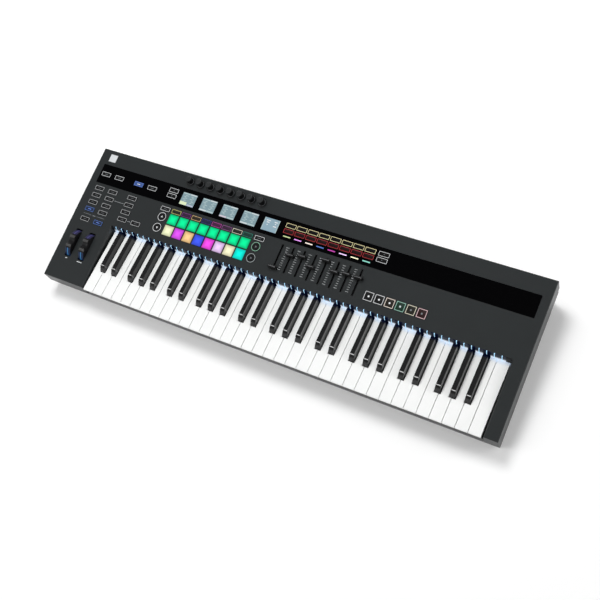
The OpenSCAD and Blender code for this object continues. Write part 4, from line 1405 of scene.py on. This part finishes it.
@dataclass
class Knobs:
    """Row of eight endless knobs behind the window."""

    panel: Panel
    layout: Layout
    skirt: float = 9.0
    grip: float = 6.7
    height: float = 15.0
    shaft: float = 3.0
    shaft_foot: float = -12.7
    lift: float = 0.6
    flutes: int = 22
    flute_depth: float = 0.5
    places: int = 88

    def shell(self) -> Shell:
        """Knob: shaft, flared skirt, fluted grip that tapers, rounded brow and a dished top.

        Returns:
            A turned form whose grip is waved by the flutes.
        """
        shaft, skirt, grip, top = self.shaft, self.skirt, self.grip, self.height
        base = [(shaft - 0.3, self.shaft_foot), (shaft, self.shaft_foot + 0.3), (shaft, self.lift),
                (skirt - 0.4, self.lift), (skirt, self.lift + 0.4), (skirt, 1.5),
                (skirt - 0.5, 1.9), (skirt - 1.3, 2.0)]
        ring = [(skirt - 1.6, 1.8), (grip + 0.1, 2.0)]
        sides = [(grip, 3.2), (grip - 0.4, top - 3.0), (grip - 0.55, top - 1.4)]
        crown = [(grip - 0.8, top - 0.6), (grip - 1.3, top - 0.1), (grip - 1.7, top),
                 (grip - 2.2, top - 0.25), (grip - 3.2, top - 0.45), (grip - 5.2, top - 0.55)]
        half, full = self.flute_depth / 2, self.flute_depth
        depth = [0.0] * (len(base) + 1) + [half, full, full, half] + [0.0] * len(crown)
        tones = [KnobTone.SKIRT] * (len(base) - 1) + [KnobTone.RING] * len(ring)
        tones += [KnobTone.GRIP] * len(sides) + [KnobTone.CROWN] * len(crown)
        rings = turned_rings(base + ring + sides + crown, self.places, self.flutes, depth)
        return loft(rings, column(tones), (KnobTone.SKIRT, KnobTone.CROWN))

    def build(self, rubber: bpy.types.Material) -> None:
        """Builds the eight knobs, each on its own body.

        Args:
            rubber: Their material.
        """
        tints = {
            KnobTone.GRIP: linear(5, 5, 6), KnobTone.SKIRT: linear(3, 3, 4),
            KnobTone.RING: linear(84, 87, 89), KnobTone.CROWN: linear(42, 44, 45)}
        palette = unlit([tints[tone] for tone in KnobTone])
        for number, u in enumerate(self.layout.strip_us, 1):
            node = f"knob_{number}"
            shell = self.panel.spread(self.shell(), [(u, self.layout.knob_v)], len(KnobTone))
            make_piece(node + "_grip", shell, rubber, node, [node], palette)


@dataclass
class Faders:
    """Eight fader caps on levers that run in slots."""

    panel: Panel
    layout: Layout
    width: float = 17.0
    depth: float = 6.0
    height: float = 10.0
    lift: float = 1.2
    lever_w: float = 1.2
    lever_d: float = 4.0
    lever_foot: float = -10.7
    line_share: float = 0.43
    line_half: float = 0.45
    body_tone: Colour = linear(19, 19, 20)
    line_tone: Colour = linear(112, 114, 116)

    def shell(self) -> Shell:
        """Fader cap: a waisted section with a dished top, carried along its width.

        The section's half depth narrows from the foot to a waist and swells to the top; near the
        ends the whole section shrinks towards its middle, which rounds them.

        Returns:
            Cap, lever and index line.
        """
        half, top = self.depth / 2, self.height
        edge = np.array([
            (half, self.lift), (half, self.lift + 0.8), (half - 0.45, 4.2), (half - 0.5, 6.2),
            (half - 0.35, top - 1.0), (half - 0.6, top - 0.25), (half - 1.0, top),
            (0.9, top - 0.45)])
        section = np.concatenate([edge, edge[::-1] * [-1, 1]])
        middle = np.array([0, (self.lift + top) / 2])
        ends = np.array([-1, -0.985, -0.95, -0.9, 0.9, 0.95, 0.985, 1]) * self.width / 2
        shrink = np.array([0.86, 0.95, 0.985, 1, 1, 0.985, 0.95, 0.86])
        flat = middle + (section - middle) * shrink[:, None, None]
        along = np.broadcast_to(ends[:, None, None], (*flat.shape[:2], 1))
        cap = loft(np.concatenate([along, flat], -1))
        lever = block(-self.lever_w / 2, self.lever_w / 2, -self.lever_d / 2, self.lever_d / 2,
                      self.lever_foot, self.lift + 0.6, 0.2)
        reach = self.width * self.line_share
        line = block(-reach, reach, -self.line_half, self.line_half, top - 0.7, top - 0.36, 0.1)
        return Shell.joined([cap, lever, line.toned(1)])

    def build(self, plastic: bpy.types.Material) -> None:
        """Builds the eight caps where their levers rest, each on its own body.

        Args:
            plastic: Their material.
        """
        plan, tints = self.layout, (self.body_tone, self.line_tone)
        for number, (u, rest) in enumerate(zip(plan.fader_us, plan.fader_rests), 1):
            node, v = f"fader_{number}", plan.fader_v - plan.fader_travel / 2 + rest
            shell = self.panel.spread(self.shell(), [(u, v)], len(tints))
            make_piece(node + "_cap", shell, plastic, node, [node], unlit(tints))


class WheelTone(IntEnum):
    """Tone numbers of a wheel's faces."""

    TYRE = 0
    FRONT_STRIP = 1
    REAR_STRIP = 2
    FRONT_HALO = 3
    REAR_HALO = 4
    LIP = 5


@dataclass
class Wheels:
    """Pitch and modulation wheels."""

    panel: Panel
    layout: Layout
    radius: float = 33.0
    width: float = 13.5
    sink: float = 19.0
    bore: float = 3.05
    notch_r: float = 9.0
    notch_reach: float = 36.5
    places: int = 240
    strip_half: float = 1.0
    strip_arc: tuple[float, float] = (28.0, 58.0)
    lip_highlight_arc: tuple[float, float] = (13.0, 23.0)

    def shell(self) -> Shell:
        """Wheel: a rim section carried round the shaft, with a finger notch at its top.

        The rim's radius is the wheel's own, or inside the notch the near crossing of the notch's
        circle: reach * cos(a) - sqrt(notch_r**2 - (reach * sin(a))**2).

        Returns:
            A closed ring with painted highlights on the lips of the notch and, past them, lit
            strips in a dim painted glow of their light over the tyre.
        """
        turn = np.linspace(-np.pi, np.pi, self.places, endpoint=False)
        under = self.notch_r ** 2 - (self.notch_reach * np.sin(turn)) ** 2
        bite = self.notch_reach * np.cos(turn) - np.sqrt(np.maximum(under, 0))
        notched = (under > 0) & (np.abs(turn) < 1)
        rim = np.where(notched, np.minimum(bite, self.radius), self.radius)
        half, strip = self.width / 2, self.strip_half
        across = np.array([-half, -half, -half + 0.35, -half + 1.3, -strip,
                           strip, half - 1.3, half - 0.35, half, half])
        inset = np.array([0, 1.3, 0.35, 0, 0, 0, 0, 0.35, 1.3, 0])
        reach = rim - inset[:, None]
        reach[[0, -1]] = self.bore
        rings = np.stack([np.broadcast_to(across[:, None], reach.shape),
                          reach * np.sin(turn), reach * np.cos(turn)], -1)
        angle = np.degrees(turn + np.pi / self.places)
        (low, high), (near, far) = self.strip_arc, self.lip_highlight_arc
        front, rear = (angle < -low) & (angle > -high), (angle > low) & (angle < high)
        # painted highlight on the notch's lips; painted glow of the strips' light over the tyre
        # round them
        lips = (abs(angle) > near) & (abs(angle) < far)
        outer, middle = slice(2, 7), 4
        tones = np.full(reach.shape, WheelTone.TYRE, int)
        tones[outer, front], tones[outer, rear] = WheelTone.FRONT_HALO, WheelTone.REAR_HALO
        tones[middle, front], tones[middle, rear] = WheelTone.FRONT_STRIP, WheelTone.REAR_STRIP
        tones[outer, lips] = WheelTone.LIP
        return loft(rings[:, ::-1], tones[:, ::-1], (None, None), wrap=True)

    def build(self, rubber: bpy.types.Material) -> None:
        """Builds both wheels, each on its own body.

        Args:
            rubber: Their material.
        """
        tints = {
            WheelTone.TYRE: (linear(13, 13, 15), BLACK),
            WheelTone.FRONT_STRIP: (linear(16, 50, 80), linear(48, 108, 156)),
            WheelTone.REAR_STRIP: (linear(30, 28, 60), linear(58, 56, 106)),
            # painted glow of the strips' light over the tyre, and a pale painted highlight on the
            # notch's lips
            WheelTone.FRONT_HALO: (linear(8, 16, 30), linear(6, 24, 54)),
            WheelTone.REAR_HALO: (linear(16, 16, 30), linear(30, 28, 62)),
            WheelTone.LIP: (linear(66, 66, 66), BLACK)}
        palette = np.array([tints[tone] for tone in WheelTone])
        for node, u in zip(("pitch_wheel", "mod_wheel"), self.layout.wheel_us):
            spot = (u, self.layout.wheel_v, -self.sink)
            shell = self.panel.spread(self.shell(), [spot], len(WheelTone))
            make_piece(node + "_tyre", shell, rubber, node, [node], palette)


Plate = tuple[float, float, float, float, Lamp]


@dataclass
class Prints:
    """Thin printed marks on the panel, the lit bars and the pictures of the screens.

    Attributes:
        line, film: Width of a printed line and thickness of the print.
        tie_gap: Space between a button and the line that ties it to the next one.
        octave_v, octave_w: Place and width of the lines behind the octave buttons.
        dash_v, dash_ws, dash_d: Place, widths and depth of the dashes under the wheels.
        tick_ws, tick_d, ticks: Widths, depth and number of a scale's long and short marks.
        blank: Middle and size of the blank plate at the rear left.
        slot_w, slot_l: Size of a fader slot.
        screen_w, screen_d, screen_back: Size of a screen, and how far it lies before the middle.
        bar_v, bar_w, bar_d: Place and size of the lit bars.
    """

    panel: Panel
    layout: Layout
    line: float = 0.7
    film: float = 0.06
    tie_gap: float = 1.2
    octave_v: float = 8.6
    octave_w: float = 20.0
    dash_v: float = -92.7
    dash_ws: tuple[float, float] = (5.0, 12.0)
    dash_d: float = 1.4
    tick_ws: tuple[float, float] = (6.4, 4.2)
    tick_d: float = 0.55
    ticks: int = 11
    blank: tuple[float, float, float, float] = (31.0, 138.6, 17.5, 16.3)
    slot_w: float = 3.0
    slot_l: float = 53.0
    screens: int = 5
    screen_w: float = 33.4
    screen_d: float = 26.4
    screen_back: float = 0.5
    bar_v: float = 87.7
    bar_w: float = 15.6
    bar_d: float = 2.1

    def slabs(self, name: str, rects: Any, palette: np.ndarray, material: bpy.types.Material,
              lift: Any = 0.0) -> None:
        """Thin plates of the given middles and sizes as one piece on the case.

        Args:
            name: Name of the piece.
            rects: Middle u and v, width and depth of each plate.
            palette: Tint and glow of each plate.
            material: Their material.
            lift: Height of the plates' undersides over the panel.
        """
        rects = np.asarray(rects, float)
        unit = loft(rounded_rings(1, 1, 0.01, [(0, 0), (0, 1)], 1, 0.01))
        height = np.full(len(rects), self.film)
        feet = np.broadcast_to(lift, len(rects)) - self.film / 3
        sizes = np.column_stack([rects[:, 2:], height])
        shell = self.panel.spread(unit, np.column_stack([rects[:, :2], feet]), 1, sizes)
        make_piece(name, shell, material, "case", palette=palette)

    def marks(self, material: bpy.types.Material) -> None:
        """Lines that tie buttons together, dashes under the wheels, scales by the faders and
        painted shade lines along the edges of the fader slots.

        Args:
            material: Material of the print.
        """
        plan, line = self.layout, self.line
        first, second, third, fourth = plan.columns
        taken = 2 * (plan.button_w / 2 + self.tie_gap)
        ties = [((second + third) / 2, plan.rows[2], third - second - taken, line),
                ((third + fourth) / 2, plan.rows[0], fourth - third - taken, line)]
        octave = [(u, self.octave_v, self.octave_w, line) for u in (first, second - 0.6)]
        dashes = [(u, self.dash_v, w, self.dash_d) for u, w in zip(plan.wheel_us, self.dash_ws)]
        octave_dash = [((first + second) / 2, 8.4, 7.0, 1.5)]
        reach, count = plan.fader_travel / 2, np.arange(self.ticks)
        scale_us = plan.fader_us[:-1] + plan.strip_pitch / 2
        scale_vs = np.linspace(plan.fader_v - reach, plan.fader_v + reach, self.ticks)
        wide = np.where(count % 5 == 0, *self.tick_ws)
        ticks = [(u, v, w, self.tick_d) for u in scale_us for v, w in zip(scale_vs, wide)]
        # painted shade: near-black lines along both edges of each fader slot
        aside = self.slot_w / 2 + line / 2
        slot_edge_shade = [(u + side * aside, plan.fader_v, line, self.slot_l)
                   for u in plan.fader_us for side in (-1, 1)]
        bright, grey, dim = linear(205, 208, 210), linear(160, 163, 166), linear(122, 125, 128)
        groups = [(ties, grey), (octave, dim), (dashes, bright), (octave_dash, dim),
                  (ticks, bright), ([self.blank], bright), (slot_edge_shade, linear(6, 6, 7))]
        rects = [rect for rows, _ in groups for rect in rows]
        palette = unlit([tint for rows, tint in groups for _ in rows])
        self.slabs("panel_prints", rects, palette, material)

    def bars(self, material: bpy.types.Material) -> None:
        """Lit bar over each fader, in the window.

        Args:
            material: Material of the bars.
        """
        lamps = (Lamp.MOSS, Lamp.ORCHID, Lamp.SAND, Lamp.BLUE, Lamp.MAGENTA, Lamp.LILAC,
                 Lamp.CREAM, Lamp.AQUA)
        rects = [(u, self.bar_v, self.bar_w, self.bar_d) for u in self.layout.fader_us]
        palette = np.array([[lamp.light * 0.3, lamp.light * 0.9] for lamp in lamps])
        self.slabs("strip_lights", rects, palette, material)

    def page(self, number: int, u: float, v: float) -> list[Plate]:
        """Marks of a parameter screen: two columns under heads, over a coloured foot each.

        Args:
            number: Number of the screen, which shifts its readouts.
            u, v: Middle of the screen.

        Returns:
            Plates on the screen's field.
        """
        half, front, rear = self.screen_w / 2, v - self.screen_d / 2, v + self.screen_d / 2
        foot, foot_h, side_foot = (
            (Lamp.LIME, 6.6, Lamp.MIST), (Lamp.FROST, 3.0, Lamp.HAZE),
            (Lamp.BLUSH, 3.0, Lamp.HAZE), (Lamp.FROST, 3.0, Lamp.HAZE))[number]
        plates = []
        for side, head in ((-1, Lamp.HAZE), (1, Lamp.FROST)):
            middle = u + side * half / 2
            plates.append((middle, rear - 1.5, half - 1.2, 2.4, head))
            for row in range(6):
                shift = (5 * number + 3 * row + side) % 7 - 3
                row_v = v + 7.4 - 2.7 * row
                plates.append((middle + 0.8 * shift, row_v, 4.0 + abs(shift), 1.3, Lamp.HAZE))
        plates.append((u - half / 2, front + foot_h / 2 + 0.3, half - 0.8, foot_h, foot))
        plates.append((u + half / 2, front + 1.9, half - 1.6, 3.0, side_foot))
        return plates

    def overview(self, u: float, v: float) -> list[Plate]:
        """Marks of the last screen: a bar at each side and three rows of two readouts.

        Args:
            u, v: Middle of the screen.

        Returns:
            Plates on the screen's field.
        """
        half = self.screen_w / 2
        plates = [(u + side * (half - 0.9), v, 1.6, self.screen_d - 1.0, Lamp.HAZE)
                  for side in (-1, 1)]
        for row, left_w, right_w in ((8.2, 9.0, 7.0), (4.4, 6.0, 2.4), (-0.8, 2.0, 7.0)):
            plates.append((u - half / 2 + 1, v + row, left_w, 1.7, Lamp.WHITE))
            plates.append((u + half / 2 + 1, v + row - 0.6, right_w, 1.7, Lamp.WHITE))
        return plates

    def pictures(self, material: bpy.types.Material) -> None:
        """Picture of each screen: a pale field and, half a film above it, marks without meaning.

        Args:
            material: Material of the pictures.
        """
        plan, v = self.layout, self.layout.window_mid - self.screen_back
        plates, lifts = [], []
        for number in range(self.screens):
            u = plan.strip_u + (2 * number + 0.5) * plan.strip_pitch
            last = number == self.screens - 1
            field = Lamp.SLATE if last else Lamp.GLASS
            marks = self.overview(u, v) if last else self.page(number, u, v)
            plates += [(u, v, self.screen_w, self.screen_d, field), *marks]
            lifts += [0.0] + [self.film / 2] * len(marks)
        rects = [plate[:4] for plate in plates]
        lights = [lamp.light for *_, lamp in plates]
        palette = np.array([[light * 0.08, light * 0.88] for light in lights])
        self.slabs("screen_pictures", rects, palette, material, lifts)


@dataclass(frozen=True)
class Softbox:
    """Oblong soft lamp.

    Attributes:
        name: Name of the lamp.
        place: Its middle, in metres.
        size: Its width and height, in metres.
        watts: Its power.
        aim: Point that it looks at, in metres.
        mirrored: Whether glossy surfaces mirror it.
    """

    name: str
    place: tuple[float, float, float]
    size: tuple[float, float]
    watts: float
    aim: tuple[float, float, float] = (0, 0, 0)
    mirrored: bool = True

    def hang(self) -> None:
        """Hangs the lamp in the scene."""
        data = bpy.data.lights.new(self.name, "AREA")
        data.shape = "RECTANGLE"
        data.size, data.size_y = self.size
        data.energy = self.watts
        lamp = bpy.data.objects.new(self.name, data)
        lamp.location = self.place
        sight = Vector(self.aim) - Vector(self.place)
        lamp.rotation_euler = sight.to_track_quat("-Z", "Y").to_euler()
        lamp.visible_glossy = self.mirrored
        bpy.context.scene.collection.objects.link(lamp)


class Stage:
    """Floor, light and camera.

    LIFT is the floor's own light for the camera; LIFT_BEHIND is painted light on top of it
    over the range BEHIND, in millimetres, which washes out the case's shadow behind it, and
    LIFT_AWAY comes over the range AWAY, in metres from the object. The sky falls by SKY_DROP over
    the range
    SKY_RISE of its upward part.
    """

    LENS = 55.984
    SENSOR = 36.0
    EYE = (746.66, -501.81, 1574.82)
    AIM = (24.917, 15.234, 25.782)
    FLOOR_HALF = 12.0
    PAPER = ((0.85,) * 3, (0.87,) * 3)
    PAPER_GRAIN = 4
    LIFT, LIFT_BEHIND, LIFT_AWAY = 0.14, 0.14, 0.7
    BEHIND, AWAY = (110, 170), (1.1, 4.0)
    SKY_DROP, SKY_RISE = 0.7, (0.02, 0.35)
    WHITE = (1, 1, 1, 1)
    LAMPS = (
        Softbox("overhead_softbox", (-0.45, 0.95, 2.7), (1.0, 1.0), 46, mirrored=False),
        Softbox("right_softbox", (2.4, 0.75, 1.1), (1.1, 1.1), 17),
        Softbox("front_softbox", (-1.0, -1.18, 2.1), (2.2, 0.3), 20, (-1.0, 0, 0)),
    )

    def floor(self) -> None:
        """White ground, lifted for the camera and reflections, more so far off, with painted light
        behind the case.

        It keeps the object's shadow, except behind the case, where the painted light washes it out.
        """
        half = self.FLOOR_HALF
        mesh = bpy.data.meshes.new("ground")
        corners = [(-half, -half, 0), (half, -half, 0), (half, half, 0), (-half, half, 0)]
        mesh.from_pydata(corners, [], [(0, 1, 2, 3)])
        paint = Paint.material("paper")
        path, kinds = paint.add("ShaderNodeLightPath"), ("Camera", "Glossy", "Transmission")
        seen = sum(Signal(paint, path.outputs[f"Is {kind} Ray"]) for kind in kinds)
        length = paint.add("ShaderNodeVectorMath", {"operation": "LENGTH"}, {0: paint.place()})
        away = Signal(paint, length.outputs["Value"]).ramp(*self.AWAY)
        # painted light behind the case, which washes out its shadow there
        behind = paint.axes()[1].ramp(*self.BEHIND)
        lift = self.LIFT + self.LIFT_BEHIND * behind + self.LIFT_AWAY * away
        tone = paint.mix(paint.noise(self.PAPER_GRAIN), *self.PAPER)
        matt = paint.add("ShaderNodeBsdfDiffuse", None, {"Color": tone})
        white = paint.add("ShaderNodeEmission", None, {
            "Color": self.WHITE, "Strength": seen.ramp(0, 1) * lift})
        both = paint.add("ShaderNodeAddShader", None, {0: matt.outputs[0], 1: white.outputs[0]})
        paint.add("ShaderNodeOutputMaterial", None, {"Surface": both.outputs[0]})
        mesh.materials.append(paint.owner)
        ground = bpy.data.objects.new("ground", mesh)
        bpy.context.scene.collection.objects.link(ground)

    def world(self) -> None:
        """Sky that is white round the horizon and dimmer overhead, and white to the camera."""
        paint = Paint(bpy.data.worlds.new("studio"))
        bpy.context.scene.world = paint.owner
        sight = paint.add("ShaderNodeTexCoord").outputs["Generated"]
        split = paint.add("ShaderNodeSeparateXYZ", None, {0: sight})
        seen = Signal(paint, paint.add("ShaderNodeLightPath").outputs["Is Camera Ray"])
        overhead = Signal(paint, split.outputs[2]).ramp(*self.SKY_RISE)
        level = 1.0 - self.SKY_DROP * overhead * (1 - seen)
        sky = paint.add("ShaderNodeBackground", None, {"Color": self.WHITE, "Strength": level})
        paint.add("ShaderNodeOutputWorld", None, {"Surface": sky.outputs[0]})

    def camera(self) -> None:
        """Camera at the photograph's own place, found from the case's corners."""
        data = bpy.data.cameras.new("eye")
        data.lens = self.LENS
        data.sensor_width = self.SENSOR
        data.sensor_fit = "HORIZONTAL"
        eye = bpy.data.objects.new("eye", data)
        eye.location = Vector(self.EYE) * MM
        eye.rotation_euler = Euler([math.radians(angle) for angle in self.AIM], "XYZ")
        bpy.context.scene.collection.objects.link(eye)
        bpy.context.scene.camera = eye

    def build(self) -> None:
        """Sets the stage."""
        bpy.context.scene.view_settings.view_transform = "Standard"
        self.camera()
        self.floor()
        self.world()
        for lamp in self.LAMPS:
            lamp.hang()


def dress_case(keyboard: Keyboard) -> None:
    """Gives every CAD node that stays in view its material.

    Args:
        keyboard: Key row, whose light guide has a finish of its own.
    """
    satin = {"rough": (0.3, 0.4), "specular": 0.35}
    case = Moulded("case_plastic", linear(38, 41, 42), **satin).material()
    tray = Moulded("tray_plastic", linear(28, 29, 30), **satin).material()
    window = Moulded("window_acrylic", linear(2, 2, 3), mottle=0.05, rough=(0.08, 0.14),
                     grain=2.0, relief=0.004, specular=0.05).material()
    black = Moulded("socket_plastic", linear(20, 20, 21), rough=(0.4, 0.5)).material()
    rubber = Moulded("foot_rubber", linear(24, 24, 24), rough=(0.62, 0.8), grain=0.7,
                     relief=0.06).material()
    glass = Moulded("screen_border", linear(6, 7, 8), mottle=0.03, rough=(0.1, 0.16),
                    grain=3.0, relief=0.002, specular=0.1).material()
    steel = Metal("zinc_plated_steel", linear(190, 192, 196)).material()
    tin = Metal("tinned_shell", linear(206, 206, 208), (0.18, 0.3), (10, 1, 1)).material()
    board, felt = Board().material(), Felt().material()
    finishes = {
        "top_case": case, "bottom_tray": tray, "display_window": window, "lcd_modules": glass,
        "key_felts": felt, "key_light_guide": keyboard.lit_wall(), "usb_socket": tin}
    groups = [
        (steel, ("key_chassis", "key_pivot_rod", "key_springs", "encoder_bodies", "fader_bodies",
                 "wheel_bracket", "screws")),
        (board, ("contact_board", "panel_board", "main_board")),
        (rubber, ("contact_strip", "feet")),
        (black, ("midi_sockets", "jack_sockets", "power_fittings", "power_switch"))]
    finishes.update({node: finish for finish, nodes in groups for node in nodes})
    for node, finish in finishes.items():
        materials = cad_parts[node].data.materials
        materials.clear()
        materials.append(finish)
        LOG.info("%s: %s", node, finish.name)


def main() -> None:
    """Builds the keyboard's pieces in order, then the stage."""
    logging.basicConfig(level=logging.INFO, format="%(name)s %(message)s")
    panel, layout = Panel.from_frame(), Layout()
    keyboard = Keyboard(panel)
    dress_case(keyboard)
    keyboard.build(keyboard.ivory(), keyboard.ebony())
    caps = Lit("lit_cap_plastic", specular=0.2).material()
    pads = Lit("lit_pad_rubber", (0.45, 0.6), 0.03, 0.1).material()
    matt = Lit("soft_touch_rubber", (0.42, 0.58), 0.03).material()
    film = Lit("printed_film", (0.3, 0.45), 0.005).material()
    glass = Lit("lit_screen_glass", (0.12, 0.2), 0.002, 0.2).material()
    Buttons(panel, layout, caps, pads).build()
    Knobs(panel, layout).build(matt)
    Faders(panel, layout).build(matt)
    Wheels(panel, layout).build(matt)
    prints = Prints(panel, layout)
    prints.marks(film)
    prints.bars(caps)
    prints.pictures(glass)
    Stage().build()


if __name__ == "__main__":
    main()
